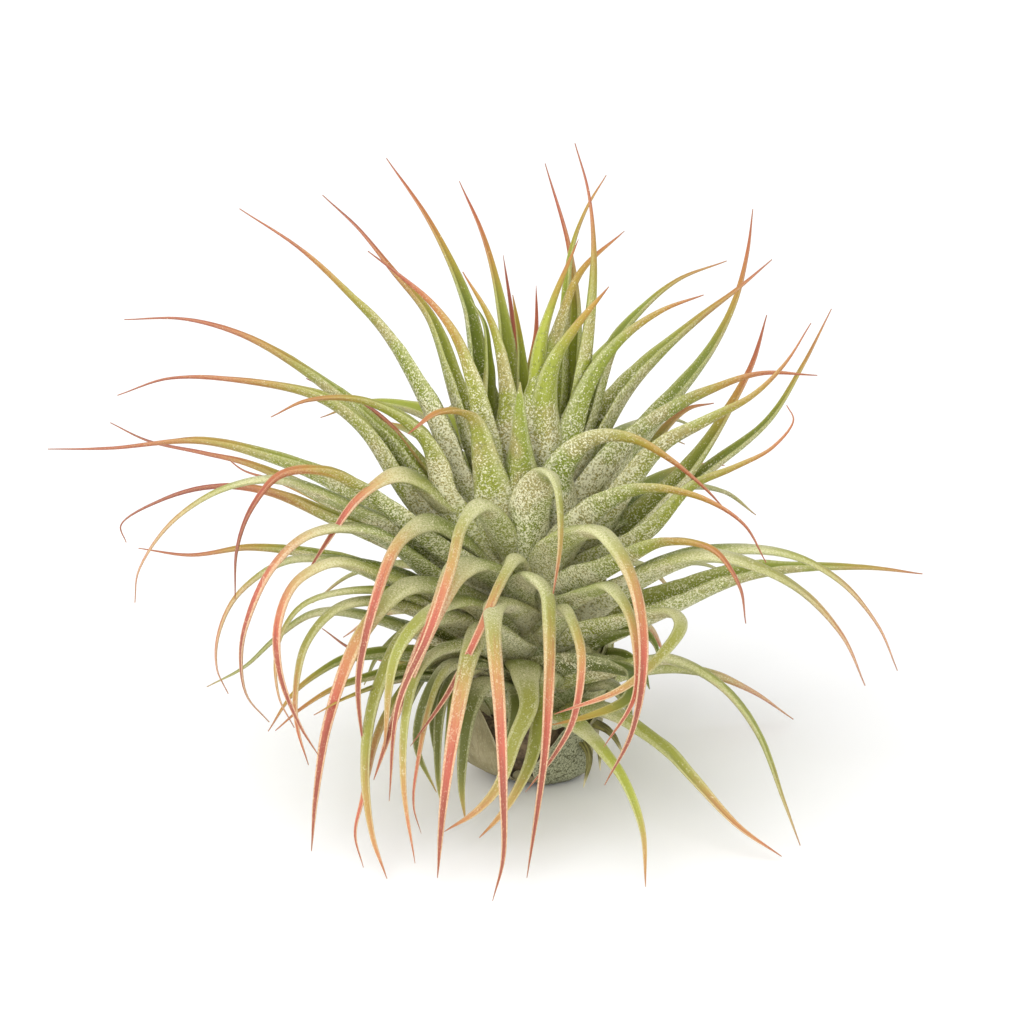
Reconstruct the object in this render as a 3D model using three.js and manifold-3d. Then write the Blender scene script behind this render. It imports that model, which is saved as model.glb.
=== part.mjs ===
// Tillandsia ionantha: a stemless air plant, a mop of tapering channelled leaves on a short
// bulbous foot of old sheaths. Millimetres, +Z up, the foot stands on z = 0 round the Z axis,
// the side in view faces -Y.
import * as THREE from 'three';
import { mergeVertices } from 'three/addons/utils/BufferGeometryUtils.js';
import Module from 'manifold-3d';

const wasm = await Module();
wasm.setup();

// Living leaves
const BASE_WIDTHS = [[8, 1.9], [16, 2], [24, 2.8], [31, 2.8], [39, 2.2]]; // of a foot, by its root's height
const BASE_GAIN = 1.6; // wider by this for each mm of blade
const TAPER = [[0, 1.2], [0.4, 1.2], [0.6, 0.95], [0.8, 0.6], [0.92, 0.34], [1, 0.1]]; // over the blade
const THICKNESSES = [[0, 1.7], [0.25, 1.4], [0.6, 1.1], [1, 0.7]]; // from root to tip
const CHANNEL = 0.6; // depth of the channel over the half-width
const ARCHED_BELOW = 0.65; // a leaf whose highest point comes sooner than this folds over
const FOLD_FROM = [[12, 0.1], [18, 0.3], [24, 0.7]]; // share of the way to the fold it narrows from, by root
const FOLD_LAG = 0.1; // to this far past the fold for each mm of blade over the least
const LEAST_BLADE = 1.1;
const STRAIGHT_SHOULDER = [0.12, 0.8]; // where a leaf that doesn't fold narrows
const SECTIONS = [3.6, 0.55]; // of a leaf, and more for each point it passes
const BEND_WEIGHT = 0.5; // share of a leaf's length that one radian of bend counts for
const LEAST_HEIGHT = 0.9; // of a midrib above the ground
const GROUND_GAP = 0.05; // of any other corner of a leaf

// The side out of view is filled by the same phyllotaxis: roots climb the stem by a fixed
// divergence, low leaves arch to the ground and high ones rise.
const BACK_LEAVES = 22;
const BACK_FROM = 33; // degrees anticlockwise from +X
const BACK_SWEEP = 114;
const DIVERGENCE = 0.618; // of the sweep, leaf to leaf
const BACK_ROOTS = [9, 35];
const BACK_LENGTHS = [40, 52];
const BACK_RISES = [24, 60]; // degrees, of the lowest and the highest
const BACK_DROOPS = [80, 80];
const BACK_DRIFT = 10; // sideways at the tip, most to least
const SEED = 6799;

// Radius of the stem and the wrapped leaf bases round it, against height.
const STEM = [
  [1.7, 4], [4, 5.8], [7, 7], [10, 8.2], [14, 9.4], [20, 9.4], [26, 8.4], [34, 6.4], [42, 4.2], [48, 1.8],
];
const STEM_SIDES = 18;

// The bulb of old sheaths round the foot of the stem: radius against height, a small flat below.
const SHEATH_FOOT = 0.6;
const SHEATH_RIM = 10;
const SHEATH_THICK = 1.3;
const SHEATH_RIDGE = 0.35;
const BULB = [[0, 4.8], [1.2, 7], [3, 8.5], [5.5, 9.5], [8, 9.8], [SHEATH_RIM, 9.6]];
const BULB_SIDES = 24;
const BULB_LEAN = -2; // sideways above the flat under the foot
const LEAN_BY = 4; // the height by which it has leant
// Each sheath: azimuth and half-width in degrees, height of its tip, how far the tip stands off.
const SHEATHS = [
  [-112, 27, 13.5, 0.6], [-70, 30, 12, 0.9], [-28, 28, 11, 1.2], [14, 30, 13, 0.7], [58, 28, 11.5, 1],
  [102, 30, 13, 0.8], [146, 28, 11, 1.1], [-170, 30, 12.5, 0.7], [-138, 24, 11, 1.3],
];
// Withered leaf stubs that hang from the bulb, listed like leaves, and how broad their feet are.
const STUBS = [
  [7.5, 1.5, 1, [4.5, -5.2, 7.6], [6.7, -8.4, 5.6], [6, -9.3, 1.2]],
  [8, 1.3, 1, [5.2, -4.6, 8], [7.9, -7.4, 6.4], [8.3, -8, 3.2]],
  [8.5, 1.8, 1, [6, -3.4, 8.8], [9.6, -6, 8], [11.6, -7.4, 5.2]],
];
const STUB_FOOT = 2.2; // over the blade's width

const FIT_GAP = 0.35; // between the stem with its leaves and the sheaths round it
const JOIN_TOLERANCE = 0.12;

// Each leaf: height of its root on the stem, width of its blade, how much of it has blushed
// (0 green, 1 coral from the arch on, more from before it), then the points its midrib passes.
// Crown: the upright leaves in the middle.
const CROWN = [
  [34, 1.6, 0.5, [-7.5, 5, 52], [-10, 9, 65], [-15, 14, 75], [-21, 18, 83]],
  [36, 2.7, 0.0, [-6.8, 2, 48], [-7, 4, 58], [-7.5, 6, 63], [-9.5, 8, 66]],
  [34, 2.6, 0.2, [-5, -3, 47], [-4.5, -2, 55], [-6.5, 0, 65], [-10.5, 2, 72]],
  [36, 1.4, 0.5, [-3.5, 3, 45], [-5, 7, 63], [-7.5, 12, 73], [-11, 14, 81]],
  [36, 1.0, 0.9, [-2.5, 4, 48], [-3.7, 9, 62], [-5, 12, 71]],
  [38, 1.9, 0.1, [-2.2, 2, 53], [-2.7, 3, 61], [-3.7, 4, 68]],
  [38, 1.1, 0.7, [-1.2, 5, 56], [-0.5, 7, 62], [-0.5, 8, 68]],
  [30, 1.9, 0.3, [-2.5, -5, 46], [-1, -5, 56], [2, -2, 64], [5.5, 2, 72], [11.5, 6, 76.5]],
  [38, 1.1, 0.7, [3, 2, 48], [5, 4, 64], [4, 6, 74], [0.7, 8, 85.5]],
  [38, 1.4, 0.6, [3.4, 0, 48], [6, 0, 61], [7.2, 0, 74], [6.5, 0, 84], [4.7, 0, 91]],
  [39, 1.3, 0.2, [2, 1, 48], [3.4, 3, 65], [4.2, 4, 74], [6.3, 5, 80], [9, 6, 84.5]],
  [36, 1.6, 0.2, [0, -3, 50], [0, -4, 63], [1.6, -3, 69], [5.2, -2, 78]],
  [34, 2.4, 0.2, [1, -5, 46], [0.7, -6, 56], [2, -6, 62], [5, -6, 67], [9.3, -6, 72.6]],
  [36, 1.7, 0.2, [5, 2, 46], [10, 6, 60], [13.7, 9, 64], [19, 12, 67.5], [25.6, 14, 69.5]],
  [30, 2.6, 0.2, [4, -3, 49], [7, -1, 57.5], [11, 1, 62.5], [16.5, 3, 66], [22.3, 4, 68]],
  [34, 1.2, 0.6, [6, 4, 46], [8, 6, 53], [10, 8, 58]],
  [31, 1.8, 0.6, [-7, 2, 42], [-11, 4, 53], [-15, 8, 63.5], [-20, 11, 69], [-24.6, 13, 74.3],
    [-29.7, 14, 79]],
  [32, 2.0, 0.6, [-6, -4, 43], [-9, -5, 58], [-11.6, -4, 65], [-15, -3, 69.5], [-19.2, -2, 73],
    [-23.3, -2, 76.3]],
  [30, 4.0, 0.3, [-6, -6, 38], [-7.5, -8, 47], [-9.5, -10, 55.5], [-13.7, -13, 57], [-17.8, -15, 54.7]],
  [32, 3.8, 0.0, [-2.5, -7.5, 43], [-2.8, -9, 50], [-2.8, -9.5, 56], [-2.7, -9, 60]],
];

// Right side of the view.
const RIGHT = [
  [32, 2.6, 0.4, [4, 1, 42], [11, 6, 53], [16.5, 11, 57.5], [22, 15, 61], [27.5, 19, 64], [32, 22, 67]],
  [28, 1.8, 0.4, [7, 3, 39], [17, 11, 49], [24, 18, 56], [27, 22, 61], [28.7, 25, 67], [29.4, 26, 73]],
  [28, 2.6, 0.5, [5, -2, 40], [12.3, 1, 48.5], [18, 3, 52], [23.3, 5, 54], [30, 7, 55.6], [38, 8, 55]],
  [26, 2.4, 0.4, [10, -5, 41.5], [16.5, -6, 50], [22.6, -6, 53.5], [28.7, -6, 57], [33, -5, 61],
    [36.7, -4, 66.7]],
  [22, 2.5, 0.5, [9, 3, 31], [20, 7, 41], [26.7, 13, 49.6], [29.4, 15, 54.6], [31.2, 16, 61]],
  [20, 1.6, 0.2, [9, 3, 30], [22, 9, 40], [31.5, 15, 46], [36.3, 18, 53], [40.2, 20, 60.5]],
  [22, 1.9, 0.45, [7, -6, 33], [15, -9, 39], [20.5, -10, 45.5], [26, -10, 48], [31.5, -10, 51],
    [34.3, -9, 54.5], [33.4, -8, 56.3]],
  [24, 2.2, 0.55, [3, -8, 35], [9, -14, 44.5], [15, -19, 48.5], [22, -22, 48], [27.4, -24, 45],
    [30.4, -24, 39.5]],
  [26, 2.4, 0.5, [3, -6, 38], [2.7, -8, 46], [7, -10, 52], [12.3, -12, 53], [18, -13, 50],
    [22.3, -14, 46.5], [25, -14, 43.5]],
  [19, 2.4, 0.55, [3, -8, 29], [11, -19, 38], [17, -25, 43], [23.3, -30, 43.4], [26.7, -31, 38.7],
    [27.6, -30, 33]],
  [18, 3.2, 0.7, [7, -7, 27], [13.7, -12, 33], [22, -16, 37.5], [29.4, -19, 37], [35.6, -21, 34],
    [41, -22, 28], [44, -22, 21]],
  [18, 2.0, 0.8, [8, -3, 26], [16, -5, 32], [24.6, -7, 35], [34.2, -9, 35], [41, -10, 31.5],
    [46.2, -10, 25], [48.8, -10, 18.6]],
  [17, 3.4, 0.2, [8, -1, 21], [16.4, 0, 24.5], [28.7, 2, 28.5], [43.8, 4, 28.5], [52.6, 4, 27.5]],
  [10, 2.2, 0.2, [3, -9, 17], [9, -15, 20.5], [14, -18.5, 23], [17.8, -20, 24], [24.6, -25, 22],
    [29.4, -28, 16.5], [32.8, -30, 7.7], [35.2, -30, 0.9]],
  [8, 2.3, 0.3, [5, -8, 12.3], [9.6, -15, 14.4], [17, -24, 12.5], [20.5, -28, 10], [26.7, -32, 4.5],
    [32.6, -34, 0.9]],
  [24, 3.2, 0.3, [8, 4, 34], [13.5, 9, 41], [17, 12, 45.5], [20.5, 14, 48], [24, 15, 48.5]],
];

// Leaves that come at the viewer, fold over and hang.
const FRONT = [
  [24, 1.7, 0.8, [-1.5, -8, 35], [-1.4, -11, 43], [0.7, -14, 48.5], [2.3, -19, 48.5], [2.7, -23, 42.5],
    [1.6, -24, 34]],
  [20, 2.2, 1.0, [1, -8, 31], [3, -14, 38.5], [8.5, -24, 43.5], [12.6, -34, 39.5], [13.7, -39, 32],
    [12.3, -41, 22], [8.6, -40, 13.6]],
  [17, 1.8, 1.0, [3, -11, 28], [7.5, -20, 34], [9.6, -26, 36.5], [12.3, -34, 34.5], [12.6, -40, 26.5],
    [8.5, -41, 19.5]],
  [15, 2.0, 0.7, [3, -10, 23], [13.7, -18, 29.6], [18, -22, 31.4], [18.9, -26, 31], [16.4, -31, 29],
    [11, -35, 25.5], [1.8, -38, 23]],
  [13, 2.4, 0.1, [1, -10, 19], [6.8, -18, 23], [11, -22, 23.5], [12.6, -26, 24], [11.6, -30, 22],
    [6.8, -32, 20.5], [1.4, -33, 19.5]],
  [8, 2.0, 0.3, [2, -9, 11.5], [4, -18, 14.5], [8.2, -30, 15], [11.5, -37, 12.5], [13.7, -42, 7.7],
    [14.1, -45, 0.9]],
  [16, 2.0, 1.0, [-2.5, -9, 26], [-6, -22, 32.5], [-6.3, -31, 32], [-5.5, -40, 25], [-5, -46, 15.5],
    [-5, -49, 6.5], [-6.4, -50, 0.9]],
  [17, 1.9, 0.9, [-3, -10, 29], [-1.5, -17, 34.5], [0.7, -23, 35], [1.2, -29, 32], [1, -36, 25],
    [0.4, -40, 17], [-1.8, -42, 1]],
  [16, 1.5, 1.0, [1.5, -11, 24], [3.4, -22, 32], [5.5, -32, 29], [4.4, -36, 21.5], [2, -37, 17],
    [-2, -36, 11]],
  [15, 2.4, 0.9, [-3, -9, 21], [-7.5, -20, 28.5], [-9.5, -29, 28], [-11.4, -37, 21], [-13, -41, 11],
    [-13.8, -42, 1]],
  [22, 1.4, 1.0, [-3, -9, 31], [-3.4, -16, 37], [-5.5, -22, 35.5], [-8.2, -28, 31], [-12.3, -31, 23.5],
    [-17.5, -30, 15.3]],
  [23, 2.5, 1.2, [-4, -8, 30], [-9.5, -16, 36], [-11.5, -21, 36.5], [-14, -26.5, 33], [-16.8, -31, 27.5],
    [-19.8, -34, 20], [-22.4, -34, 12]],
  [24, 1.5, 1.0, [-5, -8, 37], [-8, -14, 44], [-10.5, -19, 43], [-12, -25, 39], [-15, -32, 32],
    [-19, -37, 24], [-20.3, -38, 10.5]],
  [16, 2.6, 0.5, [-5, -8, 24], [-11, -19, 32], [-16.4, -27, 32], [-19.5, -31.5, 28.5], [-21, -35, 16.5]],
  [14, 2.4, 0.3, [-5, -7, 22], [-12, -15, 28], [-18, -21, 28], [-22, -26, 21.5], [-23.5, -31, 13],
    [-22.6, -36, 5], [-20.6, -42, 0.9]],
  [12, 1.4, 0.6, [-5, -6, 18], [-14, -14, 22], [-21, -24, 17], [-24, -33, 8.5], [-24.9, -36, 4.8],
    [-23.8, -38, 0.9]],
  [14, 1.6, 0.5, [-4, -8, 20], [-10.3, -17, 25], [-16, -29, 26.5], [-18, -37, 22.5], [-18.3, -41, 14],
    [-16.8, -43, 3.5]],
  [11, 2.3, 0.1, [-5, -8, 17], [-12.3, -20, 23], [-15.5, -25, 20], [-16.6, -28, 14.5], [-14, -30, 8.6]],
  [9, 2.6, 0.1, [-4, -9, 15], [-8, -18, 19.5], [-9.8, -24, 16.5], [-10.6, -28, 9], [-10.1, -29, 4]],
  [10, 1.9, 0.1, [-5, -8, 16], [-11, -18, 21.5], [-13.3, -24, 19], [-13.8, -28, 10.5], [-13, -30, 5]],
  [12, 1.0, 0.8, [-5, -8, 18], [-13, -22, 23], [-16.7, -34, 13], [-17, -36.5, 9], [-16, -38, 5.8]],
  [12, 2.6, 0.3, [-2, -9, 18.5], [-2, -20, 21.5], [-1.6, -28, 20], [-3.4, -32, 17], [-5.5, -35, 11.7],
    [-8.5, -37, 8.7], [-12.9, -39, 6.5]],
  [10, 2.5, 0.2, [1, -9, 16], [0.6, -17, 20], [0, -26, 18], [-1.2, -31.5, 13.8], [-3.4, -35, 10.3],
    [-5.5, -37, 7.8], [-8.2, -40, 6]],
];

// Left side of the view.
const LEFT = [
  [28, 2.4, 0.5, [-8, -1, 37], [-13.7, 1, 51], [-20.5, 6, 61.5], [-26, 9, 66.6], [-32.8, 11, 72.4],
    [-41, 12, 77.7]],
  [26, 3.0, 0.3, [-6, -2, 31], [-12.5, -4, 41], [-15.5, -6, 51], [-23.3, -7, 56.5], [-31.5, -8, 57],
    [-36.5, -8, 54.6]],
  [24, 2.3, 0.6, [-7, 0, 30], [-19, 2, 46], [-26, 5, 52], [-33, 8, 56.5], [-41, 11, 60], [-49, 13, 61.5],
    [-57, 14, 61]],
  [22, 2.3, 0.6, [-7, -1, 29], [-17, -1, 40.5], [-24, 0, 50.5], [-30, 1, 54.5], [-40, 3, 56],
    [-50.6, 4, 56], [-57.7, 4, 53.5]],
  [24, 1.1, 0.9, [-7, 1, 32], [-22, 6, 50], [-29, 8, 53], [-32, 9, 54.2]],
  [19, 2.4, 0.6, [-7, -1, 24], [-19, -2, 35], [-27.4, 0, 42], [-37, 2, 45.5], [-46.5, 4, 47],
    [-59, 5, 45.5], [-67.4, 6, 45]],
  [18, 1.5, 0.7, [-8, 1, 23], [-18, 4, 31], [-28.7, 7, 37], [-39.7, 11, 41], [-46.5, 13, 42],
    [-54, 15, 43], [-59.2, 16, 45.3]],
  [19, 1.2, 0.5, [-8, 2, 24], [-25, 10, 33], [-36, 15, 37], [-41, 17, 38], [-43.5, 18, 39.7]],
  [20, 1.7, 0.9, [-7, -3, 26], [-17, -5, 34], [-27.4, -7, 39.5], [-37, -8, 44], [-44.5, -9, 45],
    [-51.5, -9, 43], [-57, -8, 39], [-56.3, -8, 36.5]],
  [21, 1.8, 0.9, [-7, -3, 27], [-17, -6, 36], [-26.7, -9, 42.5], [-35.6, -12, 47], [-43, -13, 46],
    [-50, -14, 41.5], [-54.5, -14, 34.5], [-55, -14, 30]],
  [22, 2.0, 0.8, [-6, -4, 29], [-15, -8, 37], [-22.6, -11, 44.5], [-28.7, -14, 49], [-35, -16, 49.2],
    [-39, -18, 45], [-41, -18, 39], [-41.3, -18, 32]],
  [16, 2.0, 0.5, [-8, -1, 20], [-16, -1, 26], [-23.3, -1, 30], [-31.5, 0, 32], [-39.7, 1, 32.5],
    [-48, 2, 31], [-55, 2, 32]],
  [18, 1.9, 1.3, [-5, -3, 23], [-13.7, -7, 31], [-23.3, -13, 40], [-31, -17, 41], [-36, -20, 37.5],
    [-39, -22, 32], [-40.4, -22, 26], [-39.7, -22, 19.5], [-36.7, -22, 15.7]],
  [16, 1.5, 0.9, [-8, -2, 22], [-20, -5, 31], [-32.8, -9, 34.5], [-37, -10, 33.3], [-41.5, -11, 29.5],
    [-43.8, -12, 24.5], [-44, -12, 19.5], [-42.5, -12, 16]],
  [13, 1.9, 0.2, [-8, -2, 17], [-16.4, -4, 22], [-27.4, -6, 25.7], [-31.5, -6, 25.2], [-36.3, -7, 22],
    [-40.4, -7, 18], [-45.6, -6, 14.7]],
  [17, 2.0, 1.3, [-5, -4, 22], [-13.7, -9, 28], [-22, -15, 34.5], [-28, -20, 38], [-33, -24, 36.5],
    [-35.3, -28, 32], [-34.9, -31, 26], [-32.3, -33, 19.5], [-29.8, -34, 15.5]],
  [15, 1.1, 0.8, [-6, -4, 20], [-20, -15, 32], [-32, -23, 33], [-35.4, -25, 28], [-35.3, -26, 21],
    [-33.2, -27, 16.8]],
  [16, 1.9, 0.7, [-5, -4, 20], [-14, -10, 26.5], [-23, -16, 31], [-28, -20, 31], [-31.7, -24, 27.5],
    [-33, -27, 21.5], [-32.7, -28, 17], [-31.3, -28, 11.8]],
  [12, 1.9, 0.2, [-6, -4, 16], [-16, -10, 21], [-26, -16, 22.7], [-30, -18.5, 21.5], [-33.5, -20, 19],
    [-36.9, -20, 13.6]],
  [11, 1.7, 0.3, [-6, -5, 15], [-15, -13, 20], [-26.7, -23, 21.5], [-32, -26, 19.4], [-35.8, -26, 16]],
  [10, 1.4, 0.1, [-6, -7, 15], [-17, -20, 21.5], [-26, -28, 21.6], [-30.5, -30, 19.8]],
  [12, 1.2, 0.7, [-8, -2, 14], [-17, -5, 17.5], [-25.3, -8, 20.8], [-29.7, -8, 24]],
  [25, 1.9, 1.3, [-5, -1, 32], [-13.5, -4, 41], [-19.2, -10, 47], [-24.6, -14, 45], [-28.7, -16, 39.7],
    [-32, -17, 34.6]],
  [22, 1.7, 1.2, [-6, -2, 30], [-13, -8, 38.5], [-16, -12, 40.5], [-19.5, -18, 39.5], [-22.3, -23, 33.5],
    [-24.5, -27.5, 24], [-23.8, -29, 13.6]],
  [20, 2.3, 1.0, [-5, -4, 25], [-13.7, -12, 31.5], [-19.2, -18, 33], [-24.5, -24.5, 28.5],
    [-28.5, -29.5, 18.5], [-30.2, -32, 9], [-30.9, -32, 0.9]],
];

// Short leaves further in, seen between the others, that hide the stem.
const INNER = [
  [12, 1.8, 0.0, [-5.5, -8, 17.6], [-11.6, -15, 20.5], [-13.7, -19, 19.3], [-14.5, -21.5, 15.5],
    [-13.5, -23, 7.7]],
  [11, 1.3, 0.2, [-4.8, -8, 18.2], [-9.6, -17, 20.9], [-11.6, -21, 19.7], [-12.4, -25, 15.4],
    [-13.1, -27.5, 6.1]],
  [10, 2.6, 0.0, [-2.2, -9, 15.8], [-3.1, -14, 17], [-3.4, -17.5, 15], [-5.1, -20, 9]],
  [15, 3.0, 0.0, [8, -6, 21.9], [13.7, -8.5, 23.8], [15.7, -10, 22.3], [16.2, -10.5, 20]],
  [13, 2.6, 0.0, [-6, -6, 18], [-11, -10, 20.5], [-15, -13, 20], [-17.5, -15, 16], [-18.5, -16, 12]],
  [15, 2.4, 0.1, [-7, -3, 21], [-13, -5, 23.5], [-18, -7, 23.5], [-22, -9, 20.5], [-24, -10, 16.5]],
  [12, 3.0, 0.0, [7, -6, 15], [10, -8, 15.5], [12, -9.5, 13], [12.5, -10, 10]],
  [14.5, 3.0, 0.0, [8, -5, 18.5], [11.5, -7, 19.5], [14, -8.5, 18], [15, -9, 15.5]],
];

function randomFrom(seed) {
  let state = seed;
  return () => {
    state = (state * 16807) % 2147483647;
    return state / 2147483647;
  };
}

function backLeaves() {
  const random = randomFrom(SEED);
  const rows = [];
  for (let k = 0; k < BACK_LEAVES; k += 1) {
    const climb = k / (BACK_LEAVES - 1);
    const turn = BACK_FROM + BACK_SWEEP * ((k * DIVERGENCE) % 1) + 8 * (random() - 0.5);
    const azimuth = THREE.MathUtils.degToRad(turn);
    const root = THREE.MathUtils.lerp(...BACK_ROOTS, climb);
    const length = THREE.MathUtils.lerp(...BACK_LENGTHS, random());
    const rise = THREE.MathUtils.lerp(...BACK_RISES, climb) + 8 * (random() - 0.5);
    const droop = THREE.MathUtils.lerp(...BACK_DROOPS, climb) + 30 * (random() - 0.5);
    const drift = BACK_DRIFT * (random() - 0.5);
    const row = [root, 1.7 + 0.9 * random(), 0.1 + 0.4 * random()];
    let reach = 0;
    let height = root;
    for (let step = 1; step <= 20; step += 1) {
      const along = step / 20;
      const pitch = THREE.MathUtils.degToRad(rise - droop * along ** 1.2);
      reach += (length / 20) * Math.cos(pitch);
      height += (length / 20) * Math.sin(pitch);
      if (step % 4 === 0) {
        const aside = drift * along ** 2;
        row.push([
          reach * Math.cos(azimuth) - aside * Math.sin(azimuth),
          reach * Math.sin(azimuth) + aside * Math.cos(azimuth),
          Math.max(height, LEAST_HEIGHT),
        ]);
      }
    }
    rows.push(row);
  }
  return rows;
}

function along(knots, at) {
  if (at <= knots[0][0]) return knots[0][1];
  for (let k = 1; k < knots.length; k += 1) {
    const [from, low] = knots[k - 1];
    const [to, high] = knots[k];
    if (at <= to) return low + ((high - low) * (at - from)) / (to - from);
  }
  return knots[knots.length - 1][1];
}

function solidOf(positions, triangles) {
  const geometry = new THREE.BufferGeometry();
  geometry.setAttribute('position', new THREE.Float32BufferAttribute(positions, 3));
  geometry.setIndex(triangles);
  const merged = mergeVertices(geometry, 1e-4);
  return new wasm.Manifold(new wasm.Mesh({
    numProp: 3,
    vertProperties: new Float32Array(merged.attributes.position.array),
    triVerts: new Uint32Array(merged.index.array),
  }));
}

// Places along a curve for its cross-sections, closer together where it bends.
function stationsOf(curve, count) {
  const samples = 80;
  const effort = [0];
  let before = curve.getTangentAt(0);
  for (let k = 1; k <= samples; k += 1) {
    const tangent = curve.getTangentAt(k / samples);
    effort.push(effort[k - 1] + 1 / samples + BEND_WEIGHT * tangent.angleTo(before));
    before = tangent;
  }
  const stations = [];
  let k = 0;
  for (let station = 0; station < count; station += 1) {
    const wanted = (effort[samples] * station) / count;
    while (effort[k + 1] < wanted) k += 1;
    stations.push((k + (wanted - effort[k]) / (effort[k + 1] - effort[k])) / samples);
  }
  return stations;
}

// Where a leaf narrows from its broad foot to its blade: at the fold, or all along a straight one.
function shoulderOf(curve, root, blade) {
  const samples = 40;
  let top = 0;
  for (let k = 1; k <= samples; k += 1) {
    if (curve.getPointAt(k / samples).z > curve.getPointAt(top / samples).z) top = k;
  }
  const highest = top / samples;
  if (highest > ARCHED_BELOW) return STRAIGHT_SHOULDER;
  return [along(FOLD_FROM, root) * highest, highest + 0.02 + FOLD_LAG * Math.max(0, blade - LEAST_BLADE)];
}

// A leaf is a four-cornered channel swept along its midrib: two edges, the floor of the channel
// on the upper face and the keel on the lower face, closing to a point at the tip.
function leafSolid(row, { grow = 0, foot = along(BASE_WIDTHS, row[0]) + BASE_GAIN * row[1] } = {}) {
  const [root, blade, , ...path] = row;
  const points = [new THREE.Vector3(0, 0, root), ...path.map((point) => new THREE.Vector3(...point))];
  const curve = new THREE.CatmullRomCurve3(points, false, 'centripetal');
  const sections = Math.round(SECTIONS[0] + SECTIONS[1] * path.length);
  const stations = stationsOf(curve, sections);
  const [narrowFrom, narrowTo] = shoulderOf(curve, root, blade);
  const side = new THREE.Vector3(-path[0][1], path[0][0], 0).normalize();
  const positions = [];
  const triangles = [];
  for (let k = 0; k < sections; k += 1) {
    const at = stations[k];
    const centre = curve.getPointAt(at);
    const tangent = curve.getTangentAt(at);
    side.addScaledVector(tangent, -side.dot(tangent)).normalize();
    const normal = new THREE.Vector3().crossVectors(tangent, side);
    const broad = 1 - THREE.MathUtils.smoothstep(at, narrowFrom, narrowTo);
    const half = (blade * along(TAPER, at) + (foot - blade) * broad) / 2 + grow;
    const thick = along(THICKNESSES, at) / 2 + grow;
    const deep = (CHANNEL * half) / 2;
    const corners = [[-half, deep], [0, thick - deep], [half, deep], [0, -thick - deep]];
    for (const [across, up] of corners) {
      const corner = centre.clone().addScaledVector(side, across).addScaledVector(normal, up);
      corner.z = Math.max(corner.z, GROUND_GAP);
      positions.push(corner.x, corner.y, corner.z);
    }
    if (k === 0) {
      triangles.push(0, 1, 2, 0, 2, 3);
    } else {
      for (let c = 0; c < 4; c += 1) {
        const next = (c + 1) % 4;
        const near = 4 * (k - 1);
        const far = 4 * k;
        triangles.push(near + c, far + c, near + next, near + next, far + c, far + next);
      }
    }
  }
  const tip = curve.getPointAt(1);
  positions.push(tip.x, tip.y, tip.z);
  const last = 4 * (sections - 1);
  for (let c = 0; c < 4; c += 1) triangles.push(last + c, 4 * sections, last + ((c + 1) % 4));
  const solid = solidOf(positions, triangles);
  return solid.volume() > 0 ? solid : solidOf(positions, triangles.reverse());
}

function leanAt(height) {
  return BULB_LEAN * THREE.MathUtils.smoothstep(height, 0, LEAN_BY);
}

function turned(profile, sides, { grow = 0, lean = () => 0 } = {}) {
  const positions = [];
  const triangles = [];
  profile.forEach(([height, radius]) => {
    for (let k = 0; k < sides; k += 1) {
      const angle = (2 * Math.PI * k) / sides;
      const across = (radius + grow) * Math.cos(angle) + lean(height);
      positions.push(across, (radius + grow) * Math.sin(angle), height);
    }
  });
  const rings = profile.length;
  const [foot, top] = [profile[0][0] - grow, profile[rings - 1][0] + grow];
  positions.push(lean(foot), 0, foot, lean(top), 0, top);
  for (let k = 0; k < sides; k += 1) {
    const next = (k + 1) % sides;
    for (let ring = 1; ring < rings; ring += 1) {
      const low = sides * (ring - 1);
      const high = sides * ring;
      triangles.push(low + k, low + next, high + k, high + k, low + next, high + next);
    }
    triangles.push(sides * rings, next, k);
    triangles.push(sides * rings + 1, sides * (rings - 1) + k, sides * (rings - 1) + next);
  }
  return solidOf(positions, triangles);
}

function largestPiece(solid) {
  return solid.decompose().sort((a, b) => b.volume() - a.volume())[0];
}

function meshOf(name, solid, colour, roughness) {
  const { vertProperties, triVerts } = solid.getMesh();
  const geometry = new THREE.BufferGeometry();
  geometry.setAttribute('position', new THREE.BufferAttribute(new Float32Array(vertProperties), 3));
  geometry.setIndex(new THREE.BufferAttribute(new Uint32Array(triVerts), 1));
  geometry.computeVertexNormals();
  const finish = new THREE.MeshStandardMaterial({ color: colour, roughness, metalness: 0 });
  const mesh = new THREE.Mesh(geometry, finish);
  mesh.name = name;
  return mesh;
}

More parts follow.
